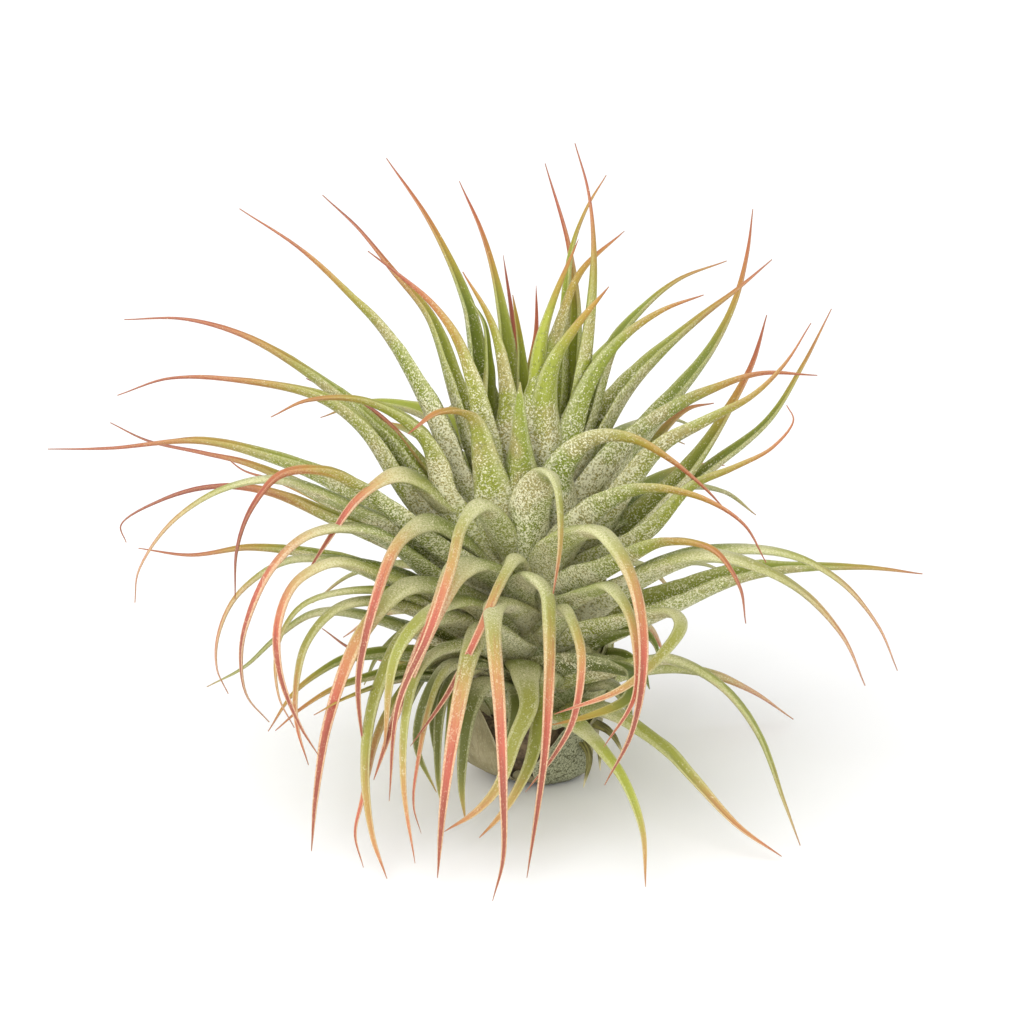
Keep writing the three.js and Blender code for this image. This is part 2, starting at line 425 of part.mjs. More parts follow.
// One old sheath: a pointed curved scale that hugs the bulb and lifts a little at its tip.
function sheathSolid([azimuth, halfAngle, top, lift]) {
  const across = 5;
  const rows = 6;
  const positions = [];
  const triangles = [];
  for (const outward of [1, 0]) {
    for (let row = 0; row < rows; row += 1) {
      const up = row / (rows - 1);
      const height = SHEATH_FOOT + (top - SHEATH_FOOT) * up;
      const open = halfAngle * Math.max(0.04, 1 - up ** 3);
      for (let k = 0; k < across; k += 1) {
        const aside = (2 * k) / (across - 1) - 1;
        const angle = THREE.MathUtils.degToRad(azimuth + open * aside);
        const rim = 0.25 + lift * up ** 2 + SHEATH_RIDGE * (1 - aside ** 2);
        const radius = along(BULB, height) + (outward ? rim : rim - SHEATH_THICK);
        positions.push(radius * Math.cos(angle) + leanAt(height), radius * Math.sin(angle), height);
      }
    }
  }
  const back = across * rows;
  for (let row = 1; row < rows; row += 1) {
    for (let k = 1; k < across; k += 1) {
      const a = across * (row - 1) + k - 1;
      const b = a + 1;
      const c = a + across;
      const d = c + 1;
      triangles.push(a, b, c, b, d, c, back + a, back + c, back + b, back + b, back + c, back + d);
    }
  }
  const rim = [];
  for (let k = 0; k < across; k += 1) rim.push(k);
  for (let row = 1; row < rows; row += 1) rim.push(across * row + across - 1);
  for (let k = across - 2; k >= 0; k -= 1) rim.push(across * (rows - 1) + k);
  for (let row = rows - 2; row > 0; row -= 1) rim.push(across * row);
  rim.forEach((here, k) => {
    const next = rim[(k + 1) % rim.length];
    triangles.push(here, back + here, next, next, back + here, back + next);
  });
  return solidOf(positions, triangles);
}

const LEAVES = [...CROWN, ...RIGHT, ...FRONT, ...LEFT, ...INNER, ...backLeaves()];
const rosette = largestPiece(
  wasm.Manifold.union([turned(STEM, STEM_SIDES), ...LEAVES.map((row) => leafSolid(row))])
    .simplify(JOIN_TOLERANCE),
);

// The old sheaths are trimmed clear of the leaves that come out through them.
const clearOfLeaves = wasm.Manifold.union([
  turned(STEM, STEM_SIDES, { grow: FIT_GAP }),
  ...LEAVES.filter(([root]) => root < 2 * SHEATH_RIM).map((row) => leafSolid(row, { grow: FIT_GAP })),
]);
const sheaths = largestPiece(
  wasm.Manifold.union([
    turned(BULB, BULB_SIDES, { lean: leanAt }),
    ...SHEATHS.map(sheathSolid),
    ...STUBS.map((row) => leafSolid(row, { foot: STUB_FOOT * row[1] })),
  ])
    .subtract(clearOfLeaves)
    .simplify(JOIN_TOLERANCE),
);

const plant = new THREE.Group();
plant.add(meshOf('leaf_rosette', rosette, 0x8a9a5b, 0.6));
plant.add(meshOf('basal_sheaths', sheaths, 0x8d8468, 0.8));

export default plant;
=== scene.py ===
"""An air plant on a pale ground: its stem, its silvery living leaves and its old dry sheaths."""
import math

import bpy
import numpy as np
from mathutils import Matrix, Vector, noise


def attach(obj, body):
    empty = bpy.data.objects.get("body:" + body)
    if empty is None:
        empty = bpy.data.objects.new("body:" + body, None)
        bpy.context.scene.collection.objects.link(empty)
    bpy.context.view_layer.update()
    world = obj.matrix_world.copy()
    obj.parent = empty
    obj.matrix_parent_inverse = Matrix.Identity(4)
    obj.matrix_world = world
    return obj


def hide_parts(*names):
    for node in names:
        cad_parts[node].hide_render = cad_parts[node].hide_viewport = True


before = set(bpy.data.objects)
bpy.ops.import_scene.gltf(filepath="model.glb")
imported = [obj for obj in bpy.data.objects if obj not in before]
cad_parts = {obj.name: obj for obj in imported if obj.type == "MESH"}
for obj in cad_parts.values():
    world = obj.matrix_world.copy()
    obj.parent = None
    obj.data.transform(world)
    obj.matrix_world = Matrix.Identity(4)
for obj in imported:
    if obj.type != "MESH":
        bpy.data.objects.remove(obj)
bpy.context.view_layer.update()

# The photographer's camera: a long lens, a little above the plant, looking along +Y.
# The plant fills about six sevenths of the frame's width.
MM = 0.001
CAMERA_AWAY = 1500 * MM
CAMERA_TILT = math.radians(20)
FRAME_WIDTH = 140 * MM
AIM = np.array([-3.8, 0, 38]) * MM
SENSOR = 36


def placed(name, data):
    """A new object in the scene, of this mesh, lamp or camera."""
    thing = bpy.data.objects.new(name, data)
    bpy.context.collection.objects.link(thing)
    return thing


camera_data = bpy.data.cameras.new("camera")
camera_data.sensor_width = SENSOR
camera_data.lens = SENSOR * CAMERA_AWAY / FRAME_WIDTH
camera = placed("camera", camera_data)
camera.location = AIM + CAMERA_AWAY * np.array([0, -math.cos(CAMERA_TILT), math.sin(CAMERA_TILT)])
camera.rotation_euler = (math.pi / 2 - CAMERA_TILT, 0, 0)
bpy.context.scene.camera = camera

# The stem: one short woody spindle, ringed by the scars of old leaves and hidden by the living ones.
# Every leaf and sheath clasps it. Its outline is radius against height, in millimetres.
STEM = [
    (1.7, 4), (4, 5.8), (7, 7), (10, 8.2), (14, 9.4), (20, 9.4), (26, 8.4), (34, 6.4), (42, 4.2), (48, 1.8),
]
STEM_RINGS = 60
STEM_SIDES = 48
STEM_WAVER = 0.3
LUMPS_AROUND = 2.5
LUMPS_UP = 0.35


class Wire:
    """One output in a node tree. Python's operators on it add the maths nodes."""

    def __init__(self, socket):
        self.socket = socket

    def __add__(self, other):
        return maths("ADD", self, other)

    __radd__ = __add__

    def __sub__(self, other):
        return maths("SUBTRACT", self, other)

    def __rsub__(self, other):
        return maths("SUBTRACT", other, self)

    def __mul__(self, other):
        return maths("MULTIPLY", self, other)

    __rmul__ = __mul__

    def __truediv__(self, other):
        return maths("DIVIDE", self, other)

    def __pow__(self, other):
        return maths("POWER", self, other)

    def scaled(self, amount):
        inputs = {0: self, "Scale": amount}
        return Board(self.socket.id_data).node("ShaderNodeVectorMath", {"operation": "SCALE"}, inputs)


def maths(operation, *sides):
    """The maths node on these wires and numbers: the one for vectors where a side is a vector."""
    wires = [side for side in sides if isinstance(side, Wire)]
    vectors = any(wire.socket.type == "VECTOR" for wire in wires)
    kind = "ShaderNodeVectorMath" if vectors else "ShaderNodeMath"
    return Board(wires[0].socket.id_data).node(kind, {"operation": operation}, enumerate(sides))


class Board:
    """A node tree being drawn up."""

    def __init__(self, tree):
        self.tree = tree

    def node(self, kind, settings=(), inputs=(), output=0):
        """Adds a node: its settings first, then the values or links of its sockets."""
        node = self.tree.nodes.new(kind)
        for name, value in dict(settings).items():
            if name == "stops":
                ramp = node.color_ramp
                for k, (place, colour) in enumerate(value):
                    stop = ramp.elements[k] if k < 2 else ramp.elements.new(place)
                    stop.position = place
                    stop.color = (*colour, 1)
            else:
                setattr(node, name, value)
        for name, value in dict(inputs).items():
            if isinstance(value, Wire):
                self.tree.links.new(value.socket, node.inputs[name])
            elif value is not None:
                node.inputs[name].default_value = value
        return Wire(node.outputs[output]) if len(node.outputs) else node

    def attributes(self, names):
        return [self.attribute(name) for name in names.split()]


class Paint(Board):
    """A material being drawn up."""

    def __init__(self, name):
        self.material = bpy.data.materials.new(name)
        self.material.use_nodes = True
        super().__init__(self.material.node_tree)
        self.tree.nodes.clear()

    def attribute(self, name):
        return self.node("ShaderNodeAttribute", {"attribute_name": name}, output="Fac")

    def place(self):
        return self.node("ShaderNodeTexCoord", output="Object")

    def vector(self, x, y, z):
        return self.node("ShaderNodeCombineXYZ", inputs={"X": x, "Y": y, "Z": z})

    def noise(self, vector, scale, detail=2.0, roughness=0.5):
        inputs = {"Vector": vector, "Scale": scale, "Detail": detail, "Roughness": roughness}
        return self.node("ShaderNodeTexNoise", inputs=inputs)

    def band(self, value, low, high):
        """0 at low, 1 at high, smooth between."""
        inputs = {"Value": value, "From Min": low, "From Max": high}
        return self.node("ShaderNodeMapRange", {"interpolation_type": "SMOOTHSTEP"}, inputs)

    def mix(self, factor, first, second):
        first, second = (value if isinstance(value, Wire) else (*value, 1) for value in (first, second))
        return self.node("ShaderNodeMix", {"data_type": "RGBA"}, {0: factor, 6: first, 7: second}, 2)

    def ramp(self, factor, stops):
        return self.node("ShaderNodeValToRGB", {"stops": stops}, {"Fac": factor})

    def bump(self, height, distance, strength=1.0, under=None):
        inputs = {"Height": height, "Distance": distance, "Strength": strength, "Normal": under}
        return self.node("ShaderNodeBump", inputs=inputs)

    def finish(self, **inputs):
        named = {name.replace("_", " "): value for name, value in inputs.items()}
        shader = self.node("ShaderNodeBsdfPrincipled", inputs=named)
        self.node("ShaderNodeOutputMaterial", inputs={"Surface": shader})
        return self.material


def tint(red, green, blue):
    """A colour given as a screen shows it, 0 to 255, as the light it reflects."""
    return tuple((value / 255 / 12.92) if value < 11 else ((value / 255 + 0.055) / 1.055) ** 2.4
                 for value in (red, green, blue))


def stem_paint():
    """Olive-brown bark with pale scar rings."""
    paint = Paint("stem")
    place = paint.place()
    height = paint.node("ShaderNodeSeparateXYZ", inputs={"Vector": place}, output="Z")
    rings = paint.noise(paint.vector(0.0, 0.0, height + 0.0006 * paint.noise(place, 300.0)), 900.0)
    grain = paint.noise(place, 1100.0, 4.0, 0.65)
    colour = paint.mix(paint.band(rings, 0.42, 0.6), tint(98, 104, 62), tint(146, 150, 108))
    colour = paint.mix(paint.band(grain, 0.5, 0.7) * 0.6, colour, tint(60, 56, 30))
    return paint.finish(
        Base_Color=colour, Roughness=0.6 + 0.3 * grain, Normal=paint.bump(rings + 0.5 * grain, 0.0002),
    )


def smooth_mesh(name, verts, faces):
    """A mesh of these faces, shaded smooth."""
    mesh = bpy.data.meshes.new(name)
    mesh.from_pydata(verts, [], faces)
    mesh.polygons.foreach_set("use_smooth", [True] * len(mesh.polygons))
    return mesh


def lathed(name, profile, sides, rings, waver, lean=lambda height: 0):
    """A closed turned body: radius against height, in mm, made uneven by up to waver."""
    heights = np.linspace(profile[0][0], profile[-1][0], rings)
    radii = np.interp(heights, *zip(*profile))
    verts = [(lean(heights[0]) * MM, 0, heights[0] * MM)]
    for height, radius in zip(heights, radii):
        for k in range(sides):
            angle = 2 * math.pi * k / sides
            way = Vector((math.cos(angle), math.sin(angle), height * LUMPS_UP))
            out = radius - waver * (0.5 + 0.5 * noise.noise(way * LUMPS_AROUND))
            verts.append(((out * way.x + lean(height)) * MM, out * way.y * MM, height * MM))
    verts.append((lean(heights[-1]) * MM, 0, heights[-1] * MM))
    faces = [(0, 1 + (k + 1) % sides, 1 + k) for k in range(sides)]
    for ring in range(rings - 1):
        low = 1 + ring * sides
        for k in range(sides):
            after = (k + 1) % sides
            faces.append((low + k, low + after, low + sides + after, low + sides + k))
    top = 1 + (rings - 1) * sides
    faces += [(top + k, top + (k + 1) % sides, len(verts) - 1) for k in range(sides)]
    return placed(name, smooth_mesh(name, verts, faces))


stem = lathed("stem", STEM, STEM_SIDES, STEM_RINGS, STEM_WAVER)
stem.data.materials.append(stem_paint())
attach(stem, "root")
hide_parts("leaf_rosette")

# The living leaves: thick tapering channels that clasp the stem with a broad foot, arch out and
# end in a thread. Each row: height of the root on the stem, width of the blade, how far the leaf
# has blushed, then the points its midrib passes, in millimetres.
CROWN = [
    [34, 1.6, 0.5, [-7.5, 5, 52], [-10, 9, 65], [-15, 14, 75], [-21, 18, 83]],
    [36, 2.7, 0.0, [-6.8, 2, 48], [-7, 4, 58], [-7.5, 6, 63], [-9.5, 8, 66]],
    [34, 2.6, 0.2, [-5, -3, 47], [-4.5, -2, 55], [-6.5, 0, 65], [-10.5, 2, 72]],
    [36, 1.4, 0.5, [-3.5, 3, 45], [-5, 7, 63], [-7.5, 12, 73], [-11, 14, 81]],
    [36, 1.0, 0.9, [-2.5, 4, 48], [-3.7, 9, 62], [-5, 12, 71]],
    [38, 1.9, 0.1, [-2.2, 2, 53], [-2.7, 3, 61], [-3.7, 4, 68]],
    [38, 1.1, 0.7, [-1.2, 5, 56], [-0.5, 7, 62], [-0.5, 8, 68]],
    [30, 1.9, 0.3, [-2.5, -5, 46], [-1, -5, 56], [2, -2, 64], [5.5, 2, 72], [11.5, 6, 76.5]],
    [38, 1.1, 0.7, [3, 2, 48], [5, 4, 64], [4, 6, 74], [0.7, 8, 85.5]],
    [38, 1.4, 0.6, [3.4, 0, 48], [6, 0, 61], [7.2, 0, 74], [6.5, 0, 84], [4.7, 0, 91]],
    [39, 1.3, 0.2, [2, 1, 48], [3.4, 3, 65], [4.2, 4, 74], [6.3, 5, 80], [9, 6, 84.5]],
    [36, 1.6, 0.2, [0, -3, 50], [0, -4, 63], [1.6, -3, 69], [5.2, -2, 78]],
    [34, 2.4, 0.2, [1, -5, 46], [0.7, -6, 56], [2, -6, 62], [5, -6, 67], [9.3, -6, 72.6]],
    [36, 1.7, 0.2, [5, 2, 46], [10, 6, 60], [13.7, 9, 64], [19, 12, 67.5], [25.6, 14, 69.5]],
    [30, 2.6, 0.2, [4, -3, 49], [7, -1, 57.5], [11, 1, 62.5], [16.5, 3, 66], [22.3, 4, 68]],
    [34, 1.2, 0.6, [6, 4, 46], [8, 6, 53], [10, 8, 58]],
    [31, 1.8, 0.6, [-7, 2, 42], [-11, 4, 53], [-15, 8, 63.5], [-20, 11, 69], [-24.6, 13, 74.3],
      [-29.7, 14, 79]],
    [32, 2.0, 0.6, [-6, -4, 43], [-9, -5, 58], [-11.6, -4, 65], [-15, -3, 69.5], [-19.2, -2, 73],
      [-23.3, -2, 76.3]],
    [30, 4.0, 0.3, [-6, -6, 38], [-7.5, -8, 47], [-9.5, -10, 55.5], [-13.7, -13, 57], [-17.8, -15, 54.7]],
    [32, 3.8, 0.0, [-2.5, -7.5, 43], [-2.8, -9, 50], [-2.8, -9.5, 56], [-2.7, -9, 60]],
]
RIGHT = [
    [32, 2.6, 0.4, [4, 1, 42], [11, 6, 53], [16.5, 11, 57.5], [22, 15, 61], [27.5, 19, 64], [32, 22, 67]],
    [28, 1.8, 0.4, [7, 3, 39], [17, 11, 49], [24, 18, 56], [27, 22, 61], [28.7, 25, 67], [29.4, 26, 73]],
    [28, 2.6, 0.5, [5, -2, 40], [12.3, 1, 48.5], [18, 3, 52], [23.3, 5, 54], [30, 7, 55.6], [38, 8, 55]],
    [26, 2.4, 0.4, [10, -5, 41.5], [16.5, -6, 50], [22.6, -6, 53.5], [28.7, -6, 57], [33, -5, 61],
      [36.7, -4, 66.7]],
    [22, 2.5, 0.5, [9, 3, 31], [20, 7, 41], [26.7, 13, 49.6], [29.4, 15, 54.6], [31.2, 16, 61]],
    [20, 1.6, 0.2, [9, 3, 30], [22, 9, 40], [31.5, 15, 46], [36.3, 18, 53], [40.2, 20, 60.5]],
    [22, 1.9, 0.45, [7, -6, 33], [15, -9, 39], [20.5, -10, 45.5], [26, -10, 48], [31.5, -10, 51],
      [34.3, -9, 54.5], [33.4, -8, 56.3]],
    [24, 2.2, 0.55, [3, -8, 35], [9, -14, 44.5], [15, -19, 48.5], [22, -22, 48], [27.4, -24, 45],
      [30.4, -24, 39.5]],
    [26, 2.4, 0.5, [3, -6, 38], [2.7, -8, 46], [7, -10, 52], [12.3, -12, 53], [18, -13, 50],
      [22.3, -14, 46.5], [25, -14, 43.5]],
    [19, 2.4, 0.55, [3, -8, 29], [11, -19, 38], [17, -25, 43], [23.3, -30, 43.4], [26.7, -31, 38.7],
      [27.6, -30, 33]],
    [18, 3.2, 0.7, [7, -7, 27], [13.7, -12, 33], [22, -16, 37.5], [29.4, -19, 37], [35.6, -21, 34],
      [41, -22, 28], [44, -22, 21]],
    [18, 2.0, 0.8, [8, -3, 26], [16, -5, 32], [24.6, -7, 35], [34.2, -9, 35], [41, -10, 31.5],
      [46.2, -10, 25], [48.8, -10, 18.6]],
    [17, 3.4, 0.2, [8, -1, 21], [16.4, 0, 24.5], [28.7, 2, 28.5], [43.8, 4, 28.5], [52.6, 4, 27.5]],
    [10, 2.2, 0.2, [3, -9, 17], [9, -15, 20.5], [14, -18.5, 23], [17.8, -20, 24], [24.6, -25, 22],
      [29.4, -28, 16.5], [32.8, -30, 7.7], [35.2, -30, 0.9]],
    [8, 2.3, 0.3, [5, -8, 12.3], [9.6, -15, 14.4], [17, -24, 12.5], [20.5, -28, 10], [26.7, -32, 4.5],
      [32.6, -34, 0.9]],
    [24, 3.2, 0.3, [8, 4, 34], [13.5, 9, 41], [17, 12, 45.5], [20.5, 14, 48], [24, 15, 48.5]],
]
FRONT = [
    [24, 1.7, 0.8, [-1.5, -8, 35], [-1.4, -11, 43], [0.7, -14, 48.5], [2.3, -19, 48.5], [2.7, -23, 42.5],
      [1.6, -24, 34]],
    [20, 2.2, 1.0, [1, -8, 31], [3, -14, 38.5], [8.5, -24, 43.5], [12.6, -34, 39.5], [13.7, -39, 32],
      [12.3, -41, 22], [8.6, -40, 13.6]],
    [17, 1.8, 1.0, [3, -11, 28], [7.5, -20, 34], [9.6, -26, 36.5], [12.3, -34, 34.5], [12.6, -40, 26.5],
      [8.5, -41, 19.5]],
    [15, 2.0, 0.7, [3, -10, 23], [13.7, -18, 29.6], [18, -22, 31.4], [18.9, -26, 31], [16.4, -31, 29],
      [11, -35, 25.5], [1.8, -38, 23]],
    [13, 2.4, 0.1, [1, -10, 19], [6.8, -18, 23], [11, -22, 23.5], [12.6, -26, 24], [11.6, -30, 22],
      [6.8, -32, 20.5], [1.4, -33, 19.5]],
    [8, 2.0, 0.3, [2, -9, 11.5], [4, -18, 14.5], [8.2, -30, 15], [11.5, -37, 12.5], [13.7, -42, 7.7],
      [14.1, -45, 0.9]],
    [16, 2.0, 1.0, [-2.5, -9, 26], [-6, -22, 32.5], [-6.3, -31, 32], [-5.5, -40, 25], [-5, -46, 15.5],
      [-5, -49, 6.5], [-6.4, -50, 0.9]],
    [17, 1.9, 0.9, [-3, -10, 29], [-1.5, -17, 34.5], [0.7, -23, 35], [1.2, -29, 32], [1, -36, 25],
      [0.4, -40, 17], [-1.8, -42, 1]],
    [16, 1.5, 1.0, [1.5, -11, 24], [3.4, -22, 32], [5.5, -32, 29], [4.4, -36, 21.5], [2, -37, 17],
      [-2, -36, 11]],
    [15, 2.4, 0.9, [-3, -9, 21], [-7.5, -20, 28.5], [-9.5, -29, 28], [-11.4, -37, 21], [-13, -41, 11],
      [-13.8, -42, 1]],
    [22, 1.4, 1.0, [-3, -9, 31], [-3.4, -16, 37], [-5.5, -22, 35.5], [-8.2, -28, 31], [-12.3, -31, 23.5],
      [-17.5, -30, 15.3]],
    [23, 2.5, 1.2, [-4, -8, 30], [-9.5, -16, 36], [-11.5, -21, 36.5], [-14, -26.5, 33], [-16.8, -31, 27.5],
      [-19.8, -34, 20], [-22.4, -34, 12]],
    [24, 1.5, 1.0, [-5, -8, 37], [-8, -14, 44], [-10.5, -19, 43], [-12, -25, 39], [-15, -32, 32],
      [-19, -37, 24], [-20.3, -38, 10.5]],
    [16, 2.6, 0.5, [-5, -8, 24], [-11, -19, 32], [-16.4, -27, 32], [-19.5, -31.5, 28.5], [-21, -35, 16.5]],
    [14, 2.4, 0.3, [-5, -7, 22], [-12, -15, 28], [-18, -21, 28], [-22, -26, 21.5], [-23.5, -31, 13],
      [-22.6, -36, 5], [-20.6, -42, 0.9]],
    [12, 1.4, 0.6, [-5, -6, 18], [-14, -14, 22], [-21, -24, 17], [-24, -33, 8.5], [-24.9, -36, 4.8],
      [-23.8, -38, 0.9]],
    [14, 1.6, 0.5, [-4, -8, 20], [-10.3, -17, 25], [-16, -29, 26.5], [-18, -37, 22.5], [-18.3, -41, 14],
      [-16.8, -43, 3.5]],
    [11, 2.3, 0.1, [-5, -8, 17], [-12.3, -20, 23], [-15.5, -25, 20], [-16.6, -28, 14.5], [-14, -30, 8.6]],
    [9, 2.6, 0.1, [-4, -9, 15], [-8, -18, 19.5], [-9.8, -24, 16.5], [-10.6, -28, 9], [-10.1, -29, 4]],
    [10, 1.9, 0.1, [-5, -8, 16], [-11, -18, 21.5], [-13.3, -24, 19], [-13.8, -28, 10.5], [-13, -30, 5]],
    [12, 1.0, 0.8, [-5, -8, 18], [-13, -22, 23], [-16.7, -34, 13], [-17, -36.5, 9], [-16, -38, 5.8]],
    [12, 2.6, 0.3, [-2, -9, 18.5], [-2, -20, 21.5], [-1.6, -28, 20], [-3.4, -32, 17], [-5.5, -35, 11.7],
      [-8.5, -37, 8.7], [-12.9, -39, 6.5]],
    [10, 2.5, 0.2, [1, -9, 16], [0.6, -17, 20], [0, -26, 18], [-1.2, -31.5, 13.8], [-3.4, -35, 10.3],
      [-5.5, -37, 7.8], [-8.2, -40, 6]],
]
LEFT = [
    [28, 2.4, 0.5, [-8, -1, 37], [-13.7, 1, 51], [-20.5, 6, 61.5], [-26, 9, 66.6], [-32.8, 11, 72.4],
      [-41, 12, 77.7]],
    [26, 3.0, 0.3, [-6, -2, 31], [-12.5, -4, 41], [-15.5, -6, 51], [-23.3, -7, 56.5], [-31.5, -8, 57],
      [-36.5, -8, 54.6]],
    [24, 2.3, 0.6, [-7, 0, 30], [-19, 2, 46], [-26, 5, 52], [-33, 8, 56.5], [-41, 11, 60], [-49, 13, 61.5],
      [-57, 14, 61]],
    [22, 2.3, 0.6, [-7, -1, 29], [-17, -1, 40.5], [-24, 0, 50.5], [-30, 1, 54.5], [-40, 3, 56],
      [-50.6, 4, 56], [-57.7, 4, 53.5]],
    [24, 1.1, 0.9, [-7, 1, 32], [-22, 6, 50], [-29, 8, 53], [-32, 9, 54.2]],
    [19, 2.4, 0.6, [-7, -1, 24], [-19, -2, 35], [-27.4, 0, 42], [-37, 2, 45.5], [-46.5, 4, 47],
      [-59, 5, 45.5], [-67.4, 6, 45]],
    [18, 1.5, 0.7, [-8, 1, 23], [-18, 4, 31], [-28.7, 7, 37], [-39.7, 11, 41], [-46.5, 13, 42],
      [-54, 15, 43], [-59.2, 16, 45.3]],
    [19, 1.2, 0.5, [-8, 2, 24], [-25, 10, 33], [-36, 15, 37], [-41, 17, 38], [-43.5, 18, 39.7]],
    [20, 1.7, 0.9, [-7, -3, 26], [-17, -5, 34], [-27.4, -7, 39.5], [-37, -8, 44], [-44.5, -9, 45],
      [-51.5, -9, 43], [-57, -8, 39], [-56.3, -8, 36.5]],
    [21, 1.8, 0.9, [-7, -3, 27], [-17, -6, 36], [-26.7, -9, 42.5], [-35.6, -12, 47], [-43, -13, 46],
      [-50, -14, 41.5], [-54.5, -14, 34.5], [-55, -14, 30]],
    [22, 2.0, 0.8, [-6, -4, 29], [-15, -8, 37], [-22.6, -11, 44.5], [-28.7, -14, 49], [-35, -16, 49.2],
      [-39, -18, 45], [-41, -18, 39], [-41.3, -18, 32]],
    [16, 2.0, 0.5, [-8, -1, 20], [-16, -1, 26], [-23.3, -1, 30], [-31.5, 0, 32], [-39.7, 1, 32.5],
      [-48, 2, 31], [-55, 2, 32]],
    [18, 1.9, 1.3, [-5, -3, 23], [-13.7, -7, 31], [-23.3, -13, 40], [-31, -17, 41], [-36, -20, 37.5],
      [-39, -22, 32], [-40.4, -22, 26], [-39.7, -22, 19.5], [-36.7, -22, 15.7]],
    [16, 1.5, 0.9, [-8, -2, 22], [-20, -5, 31], [-32.8, -9, 34.5], [-37, -10, 33.3], [-41.5, -11, 29.5],
      [-43.8, -12, 24.5], [-44, -12, 19.5], [-42.5, -12, 16]],
    [13, 1.9, 0.2, [-8, -2, 17], [-16.4, -4, 22], [-27.4, -6, 25.7], [-31.5, -6, 25.2], [-36.3, -7, 22],
      [-40.4, -7, 18], [-45.6, -6, 14.7]],
    [17, 2.0, 1.3, [-5, -4, 22], [-13.7, -9, 28], [-22, -15, 34.5], [-28, -20, 38], [-33, -24, 36.5],
      [-35.3, -28, 32], [-34.9, -31, 26], [-32.3, -33, 19.5], [-29.8, -34, 15.5]],
    [15, 1.1, 0.8, [-6, -4, 20], [-20, -15, 32], [-32, -23, 33], [-35.4, -25, 28], [-35.3, -26, 21],
      [-33.2, -27, 16.8]],
    [16, 1.9, 0.7, [-5, -4, 20], [-14, -10, 26.5], [-23, -16, 31], [-28, -20, 31], [-31.7, -24, 27.5],
      [-33, -27, 21.5], [-32.7, -28, 17], [-31.3, -28, 11.8]],
    [12, 1.9, 0.2, [-6, -4, 16], [-16, -10, 21], [-26, -16, 22.7], [-30, -18.5, 21.5], [-33.5, -20, 19],
      [-36.9, -20, 13.6]],
    [11, 1.7, 0.3, [-6, -5, 15], [-15, -13, 20], [-26.7, -23, 21.5], [-32, -26, 19.4], [-35.8, -26, 16]],
    [10, 1.4, 0.1, [-6, -7, 15], [-17, -20, 21.5], [-26, -28, 21.6], [-30.5, -30, 19.8]],
    [12, 1.2, 0.7, [-8, -2, 14], [-17, -5, 17.5], [-25.3, -8, 20.8], [-29.7, -8, 24]],
    [25, 1.9, 1.3, [-5, -1, 32], [-13.5, -4, 41], [-19.2, -10, 47], [-24.6, -14, 45], [-28.7, -16, 39.7],
      [-32, -17, 34.6]],
    [22, 1.7, 1.2, [-6, -2, 30], [-13, -8, 38.5], [-16, -12, 40.5], [-19.5, -18, 39.5], [-22.3, -23, 33.5],
      [-24.5, -27.5, 24], [-23.8, -29, 13.6]],
    [20, 2.3, 1.0, [-5, -4, 25], [-13.7, -12, 31.5], [-19.2, -18, 33], [-24.5, -24.5, 28.5],
      [-28.5, -29.5, 18.5], [-30.2, -32, 9], [-30.9, -32, 0.9]],
]
INNER = [
    [12, 1.8, 0.0, [-5.5, -8, 17.6], [-11.6, -15, 20.5], [-13.7, -19, 19.3], [-14.5, -21.5, 15.5],
      [-13.5, -23, 7.7]],
    [11, 1.3, 0.2, [-4.8, -8, 18.2], [-9.6, -17, 20.9], [-11.6, -21, 19.7], [-12.4, -25, 15.4],
      [-13.1, -27.5, 6.1]],
    [10, 2.6, 0.0, [-2.2, -9, 15.8], [-3.1, -14, 17], [-3.4, -17.5, 15], [-5.1, -20, 9]],
    [15, 3.0, 0.0, [8, -6, 21.9], [13.7, -8.5, 23.8], [15.7, -10, 22.3], [16.2, -10.5, 20]],
    [13, 2.6, 0.0, [-6, -6, 18], [-11, -10, 20.5], [-15, -13, 20], [-17.5, -15, 16], [-18.5, -16, 12]],
    [15, 2.4, 0.1, [-7, -3, 21], [-13, -5, 23.5], [-18, -7, 23.5], [-22, -9, 20.5], [-24, -10, 16.5]],
    [12, 3.0, 0.0, [7, -6, 15], [10, -8, 15.5], [12, -9.5, 13], [12.5, -10, 10]],
    [14.5, 3.0, 0.0, [8, -5, 18.5], [11.5, -7, 19.5], [14, -8.5, 18], [15, -9, 15.5]],
]
# The side out of view. A pair is for the lowest leaf and the highest, or the least and the most.
BACK_LEAVES = 22
BACK_FROM = 33  # anticlockwise from +X
BACK_SWEEP = 114
DIVERGENCE = 0.618  # of the sweep, leaf to leaf
BACK_ROOTS = (9, 35)
BACK_LENGTHS = (40, 52)
BACK_RISES = (24, 60)
BACK_DROOP = 80
BACK_BLADES = (1.7, 2.6)
BACK_BLUSHES = (0.1, 0.5)
TURN_SPREAD = 8  # of azimuth and of rise
DROOP_SPREAD = 30
DRIFT_SPREAD = 10  # sideways at the tip
DROOP_POWER = 1.2
BACK_STRIDES = 20
STRIDES_A_POINT = 4
BACK_SEED = 6799
LEAST_HEIGHT = 0.9  # of a midrib above the ground
